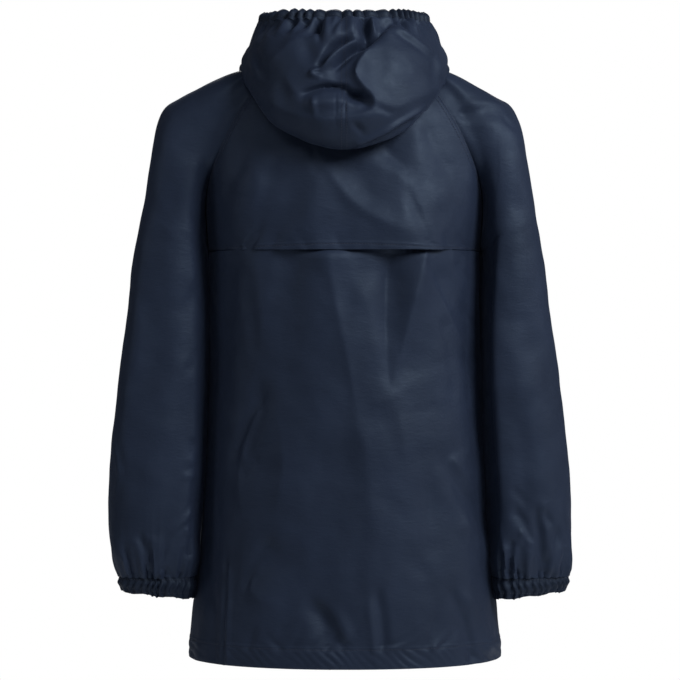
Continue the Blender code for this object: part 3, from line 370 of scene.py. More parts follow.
# The hood's outside, seen along Y.
HOOD_FOLDS = folds(
    # gathers under the rim, on the left
    (5, ((67, 56, -3), (71, 48, -5), (79, 36, -0.5))),
    (5, ((48, 58, -4), (52, 50, -8.5), (63, 36, -0.5))),
    (4.6, ((35, 58, -4.5), (39, 50, -8.5), (49, 38, -0.5))),
    (5, ((22, 50, -4), (29, 42, -8.5), (40, 33, -0.5)), 0.2),
    (3.4, ((60, 57, 3), (65, 47, 3.4), (72, 34, 0))),
    (3.2, ((43, 57, 2.5), (47, 47, 3.2), (56, 35, 0))),
    (3, ((29, 57, 3), (34, 47, 3), (42, 36, 0))),
    (4, ((80, 52, -2.5), (85, 42, -3), (89, 30, 0))),
    # the folded strips at the centre back
    (3.2, ((25, 58, -4), (25, 40, -5), (25, 24, -0.5))),
    (4.6, ((18.5, 58, 3.6), (18.5, 44, 4.8), (18, 28, 1))),
    (5.6, ((5, 58, 4), (7, 44, 5), (10, 30, 1))),
    (2.6, ((2, 56, -2), (6, 47, -4.4), (12, 36, -1))),
    (7, ((-10, 58, 4.4), (-9, 46, 6), (-6, 34, 2)), 0.1),
    # the gap and the deep recess beside them
    (5, ((-20, 57, -5), (-21, 46, -11), (-24, 34, -8))),
    (2.6, ((-27, 55, 2.6), (-29, 46, 3.6), (-33, 38, 1))),
    (6, ((-14, 24, -6), (-23, 28, -17), (-33, 33, -14), (-42, 40, -4)), 0, 0.1),
    (5.2, ((-38, 45, -2), (-46, 46, -5.6), (-55, 47, -2))),
    # folds slanting down to the left from the recess
    (3.4, ((-10, 33, -1.5), (2, 27, -10.5), (12, 19, -11.5), (22, 4, -9.5), (27, -4, -2)), 0.1),
    (3, ((2, 20, 1), (10, 13, 4.4), (20, 1, 5.6), (32, -7, 5), (26, -11, 2))),
    (3.8, ((-22, 25, -8), (-9, 18, -12), (2, 7, -9), (11, -4, -1.5))),
    (2.8, ((-12, 27, 2), (-4, 22, 4.6), (7, 11, 3.8), (14, -1, 0.5))),
    (10, ((-6, 12, -2), (4, -6, -5), (10, -18, -2))),
    # the long bright edge round the smooth panel, and the V at its foot
    (6, ((-54, 48, 1.6), (-48, 43, 3.8), (-36, 31, 5.4), (-24, 18, 6), (-14, 4, 6), (-11, -9, 6),
        (-18, -21, 5.8), (-27, -32, 5.4), (-27, -41, 4.6), (-16, -48, 3.6),
        (2, -51, 2)), -0.62, 0.12),
    (26, ((-66, 34, 1), (-72, 0, 3), (-66, -34, 1))),
    (3.4, ((-50, 44, 1), (-62, 36, 3), (-88, 18, 1.5))),
    (4.2, ((-52, 38, -1), (-66, 28, -2.4), (-85, 15, -1))),
    # the pocket and the lying fold
    (5.4, ((0, -27, -3.5), (-8, -30, -12.5), (-18, -33, -13), (-22, -38, -6))),
    (3.4, ((42, -31, -1), (37, -27, -4.6), (20, -21.5, -7.5), (2, -22, -6.5), (-4, -26, -2))),
    (6.4, ((40, -36, 1), (31, -37, 4), (6, -36, 3.6), (-1, -38, 1))),
    (2.8, ((30, -33, 2), (29, -40, 3.4), (28, -50, 0.5))),
    (1.5, ((8, -27, -0.3), (8, -40, -0.7), (8, -60, -0.2))),
    (1.5, ((-1, -27, -0.3), (-1, -40, -0.7), (-1, -60, -0.2))),
    # the turned-under lower part and the second layer at its right
    (18, ((96, -14, 1), (80, -29, 4.4), (46, -48, 6.4), (4, -54, 6.4), (-34, -48, 6.4),
        (-80, -25, 4.4), (-96, -10, 1)), 0, 0.1),
    (3, ((-14, -77, 2), (-28, -71, 4.4), (-42, -63, 5), (-64, -49, 3.4), (-80, -38, 1))),
    (3.6, ((-24, -78, -2), (-40, -70, -4.4), (-60, -57, -4.4), (-82, -44, -1.5))),
    (3.4, ((-30, -40, -0.5), (-40, -45, -2.6), (-48, -44, -0.5))),
    (3.4, ((-8, -56, -0.5), (-14, -62, -2.4), (-20, -68, -0.5))),
    # soft forms of the left half and the sides
    (9, ((84, -6, 0.5), (74, 6, 3), (50, 29, 2)), 0, 0.1),
    (9, ((38, 30, -1), (36, 18, -4.4), (30, 2, -1))),
    (8, ((58, -8, 0.5), (52, -20, 2.4), (44, -34, 0.5)), 0, 0.1),
    (7, ((66, -14, -0.5), (60, -26, -2.4), (56, -38, -0.5))),
    (4, ((96, 22, 1), (92, 6, 3), (84, -12, 0.5))),
    (4, ((90, 22, -0.5), (86, 8, -2.6), (79, -8, -0.5))),
    (3.4, ((-58, 56, -3), (-61, 48, -4), (-64, 40, -0.5))),
    (3.2, ((-67, 55, 2.5), (-71, 47, 3), (-76, 39, 0.5))),
    (3.4, ((-76, 53, -2.5), (-80, 45, -3), (-84, 36, -0.5))),
    (4, ((-93, 24, 0.5), (-96, 8, 2.4), (-93, -8, 0.5))),
    (4.4, ((-88, 18, -0.5), (-90, 4, -2.2), (-88, -12, -0.5))),
)
# The hood's front and sides, by bearing in degrees from the centre back and place in HOOD. A row
# of HOOD counts as long as 60 degrees.
HOOD_ROUND = creases(
    (70, 6.2, 120, 7.2, -2, -1.6, 0.55), (80, 7.4, 132, 8.4, 1.8, 1.4, 0.6),
    (96, 8.6, 150, 9.3, -1.8, -1.4, 0.5), (104, 5.6, 160, 6.3, 1.4, 1.2, 0.6),
    (76, 9.2, 104, 10.3, -1.4, -1.2, 0.5), (120, 7.6, 172, 7.9, -1.4, -1.6, 0.5),
    (10, 1.6, 50, 2.4, 1.6, 1.4, 0.5), (20, 2.8, 74, 3.6, -1.8, -1.4, 0.5),
    (40, 0.6, 84, 1.2, -1.4, -1.4, 0.4), (110, 1.4, 160, 2.4, -1.4, -1.4, 0.5),
)
HOOD_ROW = 60.0


# ---- interpolation ----
def smooth_step(value, low, high):
    share = np.clip((np.asarray(value) - low) / (high - low), 0.0, 1.0)
    return share * share * (3.0 - 2.0 * share)


def curve_value(p0, p1, p2, p3, share):
    """Catmull-Rom value between p1 and p2."""
    return 0.5 * (2 * p1 + (p2 - p0) * share
                  + (2 * p0 - 5 * p1 + 4 * p2 - p3) * share ** 2
                  + (3 * p1 - p0 - 3 * p2 + p3) * share ** 3)


def blend_rows(rows, at):
    """The row of a table at a place between its rows, on a smooth curve."""
    first = min(max(int(math.floor(at)), 0), len(rows) - 2)
    share = at - first
    before = rows[first - 1] if first else rows[0]
    after = rows[first + 2] if first + 2 < len(rows) else rows[-1]
    return type(rows[0])(*(curve_value(*values, share) for values in
                           zip(before, rows[first], rows[first + 1], after)))


def place_in(rows, value, column=0):
    """Where a value lies in a table's steadily changing column, as a row number."""
    last = len(rows) - 1
    rising = rows[last][column] > rows[0][column]
    for index in range(last):
        low, high = rows[index][column], rows[index + 1][column]
        inside = low <= value <= high if rising else high <= value <= low
        if inside:
            return index + (value - low) / (high - low)
    return 0.0 if (value < rows[0][column]) == rising else float(last)


def reach_along(points):
    """Distance of each point of a line from its start."""
    return np.concatenate(([0.0], np.cumsum(np.linalg.norm(np.diff(points, axis=0), axis=1))))


def read_line(places, reach, grid):
    """A line's points or normals at places along it."""
    return np.stack([np.interp(places, reach, grid[:, axis]) for axis in range(3)], axis=1)


def spaced_points(path, count, fine=0, edge=8 * MM, samples=420):
    """count + 1 points along path(0..1): `fine` close steps at each end, even ones between."""
    points = np.array([tuple(path(index / samples)) for index in range(samples + 1)])
    reach = reach_along(points)
    total = reach[-1]
    if fine:
        edge = min(edge, 0.16 * total)
        low = np.linspace(0.0, edge, fine + 1)
        wanted = np.concatenate((low[:-1], np.linspace(edge, total - edge, count - 2 * fine + 1),
                                 (total - low[::-1])[1:]))
    else:
        wanted = np.linspace(0.0, total, count + 1)
    return read_line(wanted, reach, points)


# ---- sections, as the solids have them ----
def bulge(x, half, depth, square):
    return depth * max(1.0 - abs(x / half) ** square, 0.0) ** (1.0 / square)


def raglan_seam(at, side, face):
    row = blend_rows(RAGLAN, at)
    x, z, depth = ((row.back_x, row.back_z, row.back_depth) if face > 0 else
                   (row.front_x, row.front_z, row.front_depth))
    x = min(x, row.half)
    y = 0.0 if at >= UNDERARM else bulge(x, row.half, depth, row.square)
    return Vector((side * x, face * y, z)) * MM


def upper_row(at, face, left_end, right_end):
    """The body at one raglan station, from one share to another: 1 is the left seam, -1 the
    right seam and 0 the centre line."""
    row = blend_rows(RAGLAN, at)
    x_seam, z_seam, depth, z_mid = (
        (row.back_x, row.back_z, row.back_depth, row.mid_back_z) if face > 0 else
        (row.front_x, row.front_z, row.front_depth, row.mid_front_z))
    x_seam = min(x_seam, row.half)
    reach = math.asin(min((x_seam / row.half) ** (row.square / 2.0), 1.0))

    def path(share):
        angle = reach * (left_end + (right_end - left_end) * share)
        x = math.copysign(row.half * abs(math.sin(angle)) ** (2.0 / row.square), angle)
        y = depth * math.cos(angle) ** (2.0 / row.square)
        z = z_mid + (z_seam - z_mid) * (x / x_seam) ** 2
        return Vector((x, face * y, z)) * MM
    return path


def girth_at(z):
    return blend_rows(BODY, place_in(BODY, z))


def lower_point(angle, z, face):
    """The body below the underarm; angle runs from 90 degrees left to -90 right."""
    girth = girth_at(z)
    power = 2.0 / girth.square
    depth = girth.back_depth if face > 0 else girth.front_depth
    x = math.copysign(girth.half * abs(math.sin(angle)) ** power, angle)
    return Vector((x, face * depth * abs(math.cos(angle)) ** power, z)) * MM


def body_side(y, z):
    """How far out the plain body's side lies at a depth and a height, metres."""
    girth = girth_at(min(z / MM, BODY[1].z))
    depth = girth.back_depth if y > 0 else girth.front_depth
    return bulge(y / MM, depth, girth.half, girth.square) * MM


def clear_of_body(point, side):
    """Moves an arm's point outwards, to the clearance from the plain body's side."""
    if point.z < BODY[1].z * MM:
        nearest = body_side(point.y, point.z) + ARM_CLEAR
        point.x = side * max(side * point.x, nearest)
    return point


def flatter(share, seam=0.2):
    """Power that flattens a sleeve's faces, away from its seam."""
    near = min(share, 1.0 - share) / seam
    return 1.0 - SLEEVE_FLATNESS * min(near, 1.0) ** 2 * (3.0 - 2.0 * min(near, 1.0))


def sleeve_arc(at, side):
    """The sleeve at a raglan station, from the back seam over the top to the front seam."""
    row = blend_rows(RAGLAN, at)
    top = Vector((side * (row.over_x + side * row.uneven), 0.0, row.over_z)) * MM
    halves = []
    for face in (1, -1):
        seam = raglan_seam(at, side, face)
        depth = row.arm_depth * MM
        dip = row.turn * math.acos(min(abs(seam.y) / depth, 1.0))
        if at < UNDERARM:
            depth = abs(seam.y) / math.cos(dip)
        drop = (seam - top) / (1.0 + math.sin(dip))
        drop.y = 0.0
        halves.append((face, depth, dip, drop))

    def path(share):
        angle = -halves[0][2] + (math.pi + halves[0][2] + halves[1][2]) * share
        face, depth, _, drop = halves[0] if angle <= math.pi / 2 else halves[1]
        point = top + drop * (1.0 - math.sin(angle))
        point.y = face * depth * abs(math.cos(angle)) ** flatter(share)
        return point
    return path


def sleeve_ring(at, side):
    """The sleeve below the underarm, from its inner edge round the back."""
    row = blend_rows(SLEEVE, at)
    inner = Vector((side * (row.in_x - 0.7 * side * row.uneven), row.y, row.in_z)) * MM
    outer = Vector((side * (row.out_x + side * row.uneven), row.y, row.out_z)) * MM
    centre, reach = (inner + outer) / 2, (outer - inner) / 2
    depth = row.depth * MM
    # most of the lean begins right under the armhole
    rest = SLEEVE_REST * (0.65 * min(at / 0.06, 1.0) + 0.35 * float(smooth_step(at, 0.0, 0.5)))
    below = float(smooth_step(at, 0.0, 1.6))
    turned = SLEEVE_TURN[side] * below

    def path(share):
        angle = -math.pi / 2 + 2 * math.pi * share
        point = centre + reach * math.sin(angle)
        deep = math.cos(angle)
        point.y += depth * math.copysign(abs(deep) ** flatter(share, 0.2 - 0.1 * below), deep)
        behind = float(smooth_step(deep, -0.5, 0.1))
        point.y -= turned * side * (point.x - centre.x) * behind
        off = (angle - REST_OPPOSITE) % (2 * math.pi) - math.pi
        point.x -= side * rest * math.exp(-(off / REST_REACH) ** 2)
        return clear_of_body(point, side)
    return path


def hood_point(step, bearing, side):
    """A point of the hood's profile at a bearing, in degrees from the centre back."""
    row = blend_rows(HOOD, step)
    count = len(HOOD_BEARINGS)
    first = min(place_in([(value,) for value in HOOD_BEARINGS], bearing), count - 1.001)
    share = first - int(first)
    first = int(first)
    numbers = [abs(first - 1), first, first + 1, min(first + 2, 2 * count - first - 4)]
    reach = curve_value(*(row[number] for number in numbers), share)
    height = curve_value(*(row[number + count] for number in numbers), share)
    angle = math.radians(bearing)
    return Vector((side * reach * math.sin(angle),
                   HOOD_CENTRE_Y / MM + reach * math.cos(angle), height)) * MM


def rim_frame(point):
    """The wall's direction at the rim's seam, and the way across the seam, up into the rim."""
    out = Vector((point[0], point[1] - HOOD_CENTRE_Y, 0.0)).normalized()
    tilt = math.radians(24.0 + 16.0 * out.y)
    up = Vector((0, 0, 1))
    return (out * math.cos(tilt) + up * math.sin(tilt),
            up * math.cos(tilt) - out * math.sin(tilt))


def front_point(at, x):
    """The front's surface at a place across it; at is a raglan station, then a height below."""
    if at <= UNDERARM:
        row = blend_rows(RAGLAN, at)
        y = -bulge(x, row.half, row.front_depth, row.square)
        z = row.mid_front_z + (row.front_z - row.mid_front_z) * (x / row.front_x) ** 2
        return Vector((x, y, z)) * MM
    z = BODY[1].z + (HEM_Z - BODY[1].z) * (at - UNDERARM)
    girth = girth_at(z)
    return Vector((x, -bulge(x, girth.half, girth.front_depth, girth.square), z)) * MM


# ---- relief ----
def crease_push(u, v, table):
    """The sum of a table's creases at (u, v), millimetres."""
    total = np.zeros_like(u)
    for c in table:
        du, dv = c.x1 - c.x0, c.z1 - c.z0
        length = math.hypot(du, dv)
        along = ((u - c.x0) * du + (v - c.z0) * dv) / length ** 2
        inside = np.clip(along, 0.0, 1.0)
        away = ((u - c.x0) * dv - (v - c.z0) * du) / length - c.bow * 4 * inside * (1 - inside)
        beyond = (along - inside) * length
        reach = c.width * np.where(away > 0, 1.0 - c.lean, 1.0 + c.lean)
        height = c.push0 + (c.push1 - c.push0) * inside
        total += height * np.exp(-(beyond / (1.3 * c.width)) ** 2 - (away / reach) ** 2)
    return total


def fold_push(u, v, table):
    """The sum of a table's bent folds at (u, v), millimetres."""
    total = np.zeros_like(u)
    for fold in table:
        nearest = np.full_like(u, 1e9)
        away, height = np.zeros_like(u), np.zeros_like(u)
        rows = [Bend(*row) for row in fold.path]
        path = [blend_rows(rows, at / 5) for at in range(5 * len(rows) - 4)]
        for (x0, z0, push0), (x1, z1, push1) in zip(path, path[1:]):
            du, dv = x1 - x0, z1 - z0
            along = ((u - x0) * du + (v - z0) * dv) / (du * du + dv * dv)
            along = np.clip(along, 0.0, 1.0)
            off_u, off_v = u - x0 - along * du, v - z0 - along * dv
            distance = np.hypot(off_u, off_v)
            near = distance < nearest
            nearest = np.where(near, distance, nearest)
            away = np.where(near, np.sign(off_u * dv - off_v * du) * distance, away)
            height = np.where(near, push0 + (push1 - push0) * along, height)
        slope = away / (fold.width * np.where(away > 0, 1.0 - fold.lean, 1.0 + fold.lean))
        if fold.crest:
            total += height * np.exp(fold.crest - np.hypot(slope, fold.crest))
        else:
            total += height * np.exp(-slope ** 2)
    return total


def uneven(points, scale, seed):
    """Smooth noise over a cloth, about -0.5 to 0.5."""
    flat = points.reshape(-1, 3)
    offset = Vector((seed * 3.7, seed * 1.9, seed * 5.3))
    values = [noise.noise(Vector(point) / scale + offset) for point in flat]
    return np.array(values).reshape(points.shape[:2])


def gather_wave(turn, count, seed, loose=1.0):
    """Uneven gathers round a ring: 1 on a ridge, 0 in the narrow trough between two."""
    angle = 2 * math.pi * turn
    phase = count * angle + loose * (
        1.3 * np.sin(3 * angle + seed) + 1.0 * np.sin(5 * angle + 2.1 * seed)
        + 0.8 * np.sin(11 * angle + 0.7 * seed))
    return np.abs(np.cos(phase / 2.0)) ** 0.8


def gather_size(turn, seed):
    angle = 2 * math.pi * turn
    return 0.72 + 0.22 * np.sin(4 * angle + 1.7 * seed) + 0.16 * np.sin(9 * angle + 0.6 * seed)


def flare(points):
    """The hem stands out a little to both sides, more on the wearer's right."""
    x, z = points[..., 0] / MM, points[..., 2] / MM
    wide = smooth_step(np.abs(x), 60, 160) * smooth_step(-z, 500, 600)
    points[..., 0] += np.where(x > 0, 2.4, -4.2) * MM * wide


class Cloth:
    """A fine grid of points, its outward normals and the distances along it."""

    def __init__(self, name, rows, closed_from=None, face_out=1.0):
        self.name = name
        self.points = np.array(rows, dtype=float)
        self.closed_from = len(rows) if closed_from is None else closed_from
        self.face_out = face_out
        self.find_normals()

    def find_normals(self):
        p, closed = self.points, self.closed_from
        across, down = np.empty_like(p), np.empty_like(p)
        across[:, 1:-1] = p[:, 2:] - p[:, :-2]
        across[:, 0], across[:, -1] = p[:, 1] - p[:, 0], p[:, -1] - p[:, -2]
        across[closed:, 0] = across[closed:, -1] = p[closed:, 1] - p[closed:, -2]
        down[1:-1] = p[2:] - p[:-2]
        down[0], down[-1] = p[1] - p[0], p[-1] - p[-2]
        normal = np.cross(across, down) * self.face_out
        self.normals = normal / np.maximum(np.linalg.norm(normal, axis=2, keepdims=True), 1e-12)

    def push(self, amount):
        """Moves the points along their normals by an amount in millimetres."""
        self.points = self.points + self.normals * (np.asarray(amount) * MM)[..., None]
        self.find_normals()

    def smooth_rows(self, middle, reach, rounds, inside):
        """Eases the change of slope near one row, by a share for each column."""
        near = np.exp(-((np.arange(len(self.points)) - middle) / (0.5 * reach)) ** 2)[1:-1, None]
        for _ in range(rounds):
            middle_of = (self.points[:-2] + self.points[2:]) / 2 - self.points[1:-1]
            self.points[1:-1] += (0.9 * near * inside)[..., None] * middle_of
        self.find_normals()

    def tuck(self):
        """Draws the cloths in along the armholes' lower backs, where they fold under the arms."""
        x, z = self.across_and_up()
        for tuck in TUCKS:
            away = (x - tuck.x) / tuck.width
            window = smooth_step(-z, 84, 128) * (1 - smooth_step(-z, tuck.until - 44, tuck.until))
            behind = smooth_step(self.points[..., 1] / MM, 4, 16)
            self.points[..., 1] -= tuck.depth * MM * np.exp(-away ** 2) * window * behind
        self.find_normals()

    def across(self):
        """Distance of each point along its row, metres."""
        steps = np.linalg.norm(np.diff(self.points, axis=1), axis=2)
        return np.concatenate((np.zeros((len(steps), 1)), np.cumsum(steps, axis=1)), axis=1)

    def along(self):
        """Distance of each point down its column, metres."""
        steps = np.linalg.norm(np.diff(self.points, axis=0), axis=2)
        return np.concatenate((np.zeros((1, steps.shape[1])), np.cumsum(steps, axis=0)), axis=0)

    def from_edge(self, edge):
        """Distance of each point from one edge, metres."""
        if edge in ("start", "end"):
            reach = self.across()
            return reach if edge == "start" else reach[:, -1:] - reach
        reach = self.along()
        return reach if edge == "top" else reach[-1:] - reach

    def across_and_up(self):
        """The points' x and z, millimetres."""
        return self.points[..., 0] / MM, self.points[..., 2] / MM

    def inward(self, low, high):
        """0 at the two side edges and 1 further in; low and high are millimetres."""
        sides = np.minimum(self.from_edge("start"), self.from_edge("end"))
        return smooth_step(sides / MM, low, high)

    def line(self, edge, distance, first=0, last=None):
        """Points and normals of a line at a distance inside an edge."""
        reach = self.from_edge(edge)
        points, normals = self.points, self.normals
        if edge in ("top", "bottom"):
            reach, points, normals = reach.T, points.swapaxes(0, 1), normals.swapaxes(0, 1)
        if edge in ("end", "bottom"):
            reach, points, normals = reach[:, ::-1], points[:, ::-1], normals[:, ::-1]
        rows = range(first, len(reach) if last is None else last)
        return [np.array([read_line([distance], reach[row], grid[row])[0] for row in rows])
                for grid in (points, normals)]


def hem_relief(distance, stitches, depth=0.5):
    """A seam's or hem's doubled cloth, with a groove along each row of stitches."""
    end = max(stitches) + 1.2
    relief = depth * (1.0 - smooth_step(distance / MM, end, end + 2.2))
    for stitch in stitches:
        relief = relief - 0.45 * np.exp(-((distance / MM - stitch) / 1.0) ** 2)
    return relief


# ---- materials ----
def configure(node, **values):
    """Sets a node's own settings and its inputs, by name with _ for a space."""
    for name, value in values.items():
        if hasattr(node, name):
            setattr(node, name, value)
        else:
            node.inputs[name.replace("_", " ")].default_value = value
    return node


def add_node(tree, kind, feeds=None, **values):
    """A shader node with its values, and with the sockets that feed some of its inputs."""
    node = configure(tree.nodes.new("ShaderNode" + kind), **values)
    for name, socket in (feeds or {}).items():
        tree.links.new(socket, node.inputs[name])
    return node


def new_material(name, **values):
    material = bpy.data.materials.new(name)
    material.use_nodes = True
    tree = material.node_tree
    return material, tree, configure(tree.nodes["Principled BSDF"], **values)


def noise_at(tree, place, **values):
    return add_node(tree, "TexNoise", {"Vector": place}, **values).outputs["Fac"]


def tone_ramp(tree, factor, colours, places=(0.0, 1.0)):
    ramp = add_node(tree, "ValToRGB", {"Fac": factor})
    for element, place, colour in zip(ramp.color_ramp.elements, places, colours):
        element.position = place
        element.color = (*colour, 1.0)
    return ramp.outputs["Color"]


def bumped(tree, height, strength, distance, surface=None):
    feeds = {"Height": height}
    if surface:
        feeds["Normal"] = surface
    return add_node(tree, "Bump", feeds, Strength=strength, Distance=distance).outputs["Normal"]


def weave_height(tree):
    """Threads over and under, in the cloth's own directions."""
    cloth = add_node(tree, "UVMap", uv_map="cloth").outputs["UV"]
    split = add_node(tree, "SeparateXYZ", {"Vector": cloth})
    threads = []
    for axis in ("X", "Y"):
        turn = add_node(tree, "Math", {0: split.outputs[axis]}, operation="MULTIPLY")
        turn.inputs[1].default_value = math.pi / WEAVE
        threads.append(add_node(tree, "Math", {0: turn.outputs[0]}, operation="SINE").outputs[0])
    return add_node(tree, "Math", dict(enumerate(threads)), operation="MULTIPLY").outputs[0]


def coated_nylon(name, colour, roughness):
    """Navy nylon: a plain weave under a thin coat, with small ripples and uneven gloss."""
    material, tree, shader = new_material(
        name, Metallic=0.0, IOR=1.47, Specular_IOR_Level=0.25,
        Specular_Tint=(0.6, 0.78, 1.0, 1.0), Sheen_Weight=0.06, Sheen_Roughness=0.4,
        Sheen_Tint=(0.35, 0.45, 0.75, 1.0))
    place = add_node(tree, "TexCoord").outputs["Object"]
    broad = noise_at(tree, place, Scale=14.0, Detail=3.0, Roughness=0.5)
    tones = [[share * c for c in colour] for share in (0.88, 1.12)]
    cloud = noise_at(tree, place, Scale=70.0, Detail=4.0, Roughness=0.6)
    gloss = add_node(tree, "MapRange", {"Value": cloud}, From_Min=0.3, From_Max=0.7,
                     To_Min=roughness - 0.05, To_Max=roughness + 0.06)
    # small ripples that the cloth keeps from being packed, and a softer crumple
    drawn = add_node(tree, "Mapping", {"Vector": place}, Scale=(0.6, 0.6, 1.5)).outputs["Vector"]
    ripple = noise_at(tree, drawn, Scale=190.0, Detail=4.0, Roughness=0.62, Distortion=0.3)
    crumple = noise_at(tree, place, Scale=30.0, Detail=1.0, Roughness=0.4)
    surface = bumped(tree, weave_height(tree), 0.16, 0.00005)
    surface = bumped(tree, ripple, 0.45, 0.0008, surface)
    surface = bumped(tree, crumple, 0.5, 0.005, surface)
    tree.links.new(tone_ramp(tree, broad, tones, (0.3, 0.72)), shader.inputs["Base Color"])
    tree.links.new(gloss.outputs["Result"], shader.inputs["Roughness"])
    tree.links.new(surface, shader.inputs["Normal"])
    return material


def thread_material():
    """Twisted polyester thread, a little lighter than the cloth."""
    material, tree, shader = new_material("navy_thread", Roughness=0.6)
    place = add_node(tree, "TexCoord").outputs["Object"]
    twist = noise_at(tree, place, Scale=2600.0, Detail=1.0)
    tones = ((0.012, 0.016, 0.032), (0.026, 0.034, 0.062))
    tree.links.new(tone_ramp(tree, twist, tones), shader.inputs["Base Color"])
    return material


# ---- meshes ----
def add_object(name, data):
    piece = bpy.data.objects.new(name, data)
    bpy.context.scene.collection.objects.link(piece)
    return piece


def build_shell(cloth, material, wall=CLOTH):
    """A cloth's thin closed shell, with its own directions as UVs in metres."""
    rows, columns = cloth.points.shape[:2]
    numbers = np.arange(rows * columns).reshape(rows, columns)
    numbers[cloth.closed_from:, -1] = numbers[cloth.closed_from:, 0]
    outer = cloth.points.reshape(-1, 3)
    inner = (cloth.points - cloth.normals * wall).reshape(-1, 3)
    count = len(outer)
    a, b = numbers[:-1, :-1].ravel(), numbers[:-1, 1:].ravel()
    c, d = numbers[1:, 1:].ravel(), numbers[1:, :-1].ravel()
    faces = np.stack((a, b, c, d), axis=1)
    if cloth.face_out < 0:
        faces = faces[:, ::-1]
    inside = faces[:, ::-1] + count
    starts = faces.ravel()
    ends = np.roll(faces, -1, axis=1).ravel()
    known = set((starts.astype(np.int64) * count + ends).tolist())
    rim = [(s, e) for s, e in zip(starts.tolist(), ends.tolist()) if e * count + s not in known]
    sides = [[e, s, s + count, e + count] for s, e in rim]
    mesh = bpy.data.meshes.new(cloth.name)
    mesh.from_pydata(np.concatenate((outer, inner)).tolist(), [],
                     faces.tolist() + inside.tolist() + sides)
    # the seam column of a closed row is shared, so its spare points go
    used = np.zeros(2 * count, dtype=bool)
    used[faces.ravel()] = True
    used[inside.ravel()] = True
    across, along = cloth.across(), cloth.along().mean(axis=1, keepdims=True)
    across = across - across[:, columns // 2][:, None]
    uv = np.stack((across, np.broadcast_to(along, across.shape)), axis=2).reshape(-1, 2)
    layer = mesh.uv_layers.new(name="cloth")
    loops = np.empty(len(mesh.loops), dtype=np.int64)
    mesh.loops.foreach_get("vertex_index", loops)
    layer.data.foreach_set("uv", uv[loops % count].ravel())
    spare = np.nonzero(~used)[0]
    if len(spare):
        shape = bmesh.new()
        shape.from_mesh(mesh)
        shape.verts.ensure_lookup_table()
        bmesh.ops.delete(shape, geom=[shape.verts[i] for i in spare.tolist()], context="VERTS")
        shape.to_mesh(mesh)
        shape.free()
    mesh.shade_smooth()
    mesh.set_sharp_from_angle(angle=math.radians(60))
    mesh.materials.append(material)
    return add_object("cloth_" + cloth.name, mesh)


def stitch_row(lines, name, material):
    """Rows of stitches on lines of (points, normals), as small rounded threads."""
    verts, faces = [], []
    for points, normals in lines:
        reach = reach_along(points)
        count = int(reach[-1] / STITCH_PITCH)
        middles = (np.arange(count) + 0.5) * reach[-1] / count
        ends = [read_line(middles + shift * STITCH_LENGTH / 2, reach, points) for shift in (-1, 1)]
        normal = read_line(middles, reach, normals)
        normal /= np.linalg.norm(normal, axis=1, keepdims=True)
        axis = ends[1] - ends[0]
        size = np.maximum(np.linalg.norm(axis, axis=1, keepdims=True), 1e-9)
        side = np.cross(axis / size, normal)
        for k in range(count):
            base = len(verts)
            above = normal[k] * (THREAD_LIFT + THREAD_WIDTH * 0.25)
            middle = (ends[0][k] + ends[1][k]) / 2 + above
            verts.append(ends[0][k] - normal[k] * THREAD_WIDTH * 0.3)
            for share in (-0.28, 0.28):
                centre = middle + axis[k] * share
                for turn in range(THREAD_SIDES):
                    angle = 2 * math.pi * turn / THREAD_SIDES
                    verts.append(centre + (side[k] * math.cos(angle)
                                           + normal[k] * math.sin(angle)) * THREAD_WIDTH / 2)
            verts.append(ends[1][k] - normal[k] * THREAD_WIDTH * 0.3)
            last = base + 1 + 2 * THREAD_SIDES
            for turn in range(THREAD_SIDES):
                p, q = base + 1 + turn, base + 1 + (turn + 1) % THREAD_SIDES
                r, s = p + THREAD_SIDES, q + THREAD_SIDES
                faces += [[base, q, p], [p, q, s, r], [last, r, s]]
    mesh = bpy.data.meshes.new(name)
    mesh.from_pydata([tuple(v) for v in verts], [], faces)
    mesh.shade_smooth()
    mesh.materials.append(material)
    return add_object(name, mesh)


# ---- the coat's cloths ----
def sided(name, side):
    return name + ("_left" if side > 0 else "_right")


def steps(*parts):
    """Row places: (start, end, count) parts, one after the other."""
    places = [parts[0][0]]
    for start, end, count in parts:
        places += list(np.linspace(start, end, count + 1)[1:])
    return places


def side_fade(cloth, part):
    """0 at a panel's side edges and 1 some way in, as the solids have it."""
    reach = cloth.across()
    share = reach / reach[:, -1:]
    return smooth_step(np.minimum(share, 1.0 - share), 0.0, part)


def facing(cloth, face):
    """1 where a cloth faces the back (face 1) or the front (face -1)."""
    return smooth_step(face * cloth.normals[..., 1], -0.05, 0.35)


def seam_relief(cloth, edge):
    return hem_relief(cloth.from_edge(edge), SEAM_STITCHES, 0.35)


def vent_lift(x):
    """How far the yoke's free edge stands off the back, millimetres."""
    places = np.arange(-150, 151, 3)
    lifts = [blend_rows(VENT_LIFTS, place_in(VENT_LIFTS, place)).lift for place in places]
    return np.maximum(np.interp(x, places, lifts), 0.0)


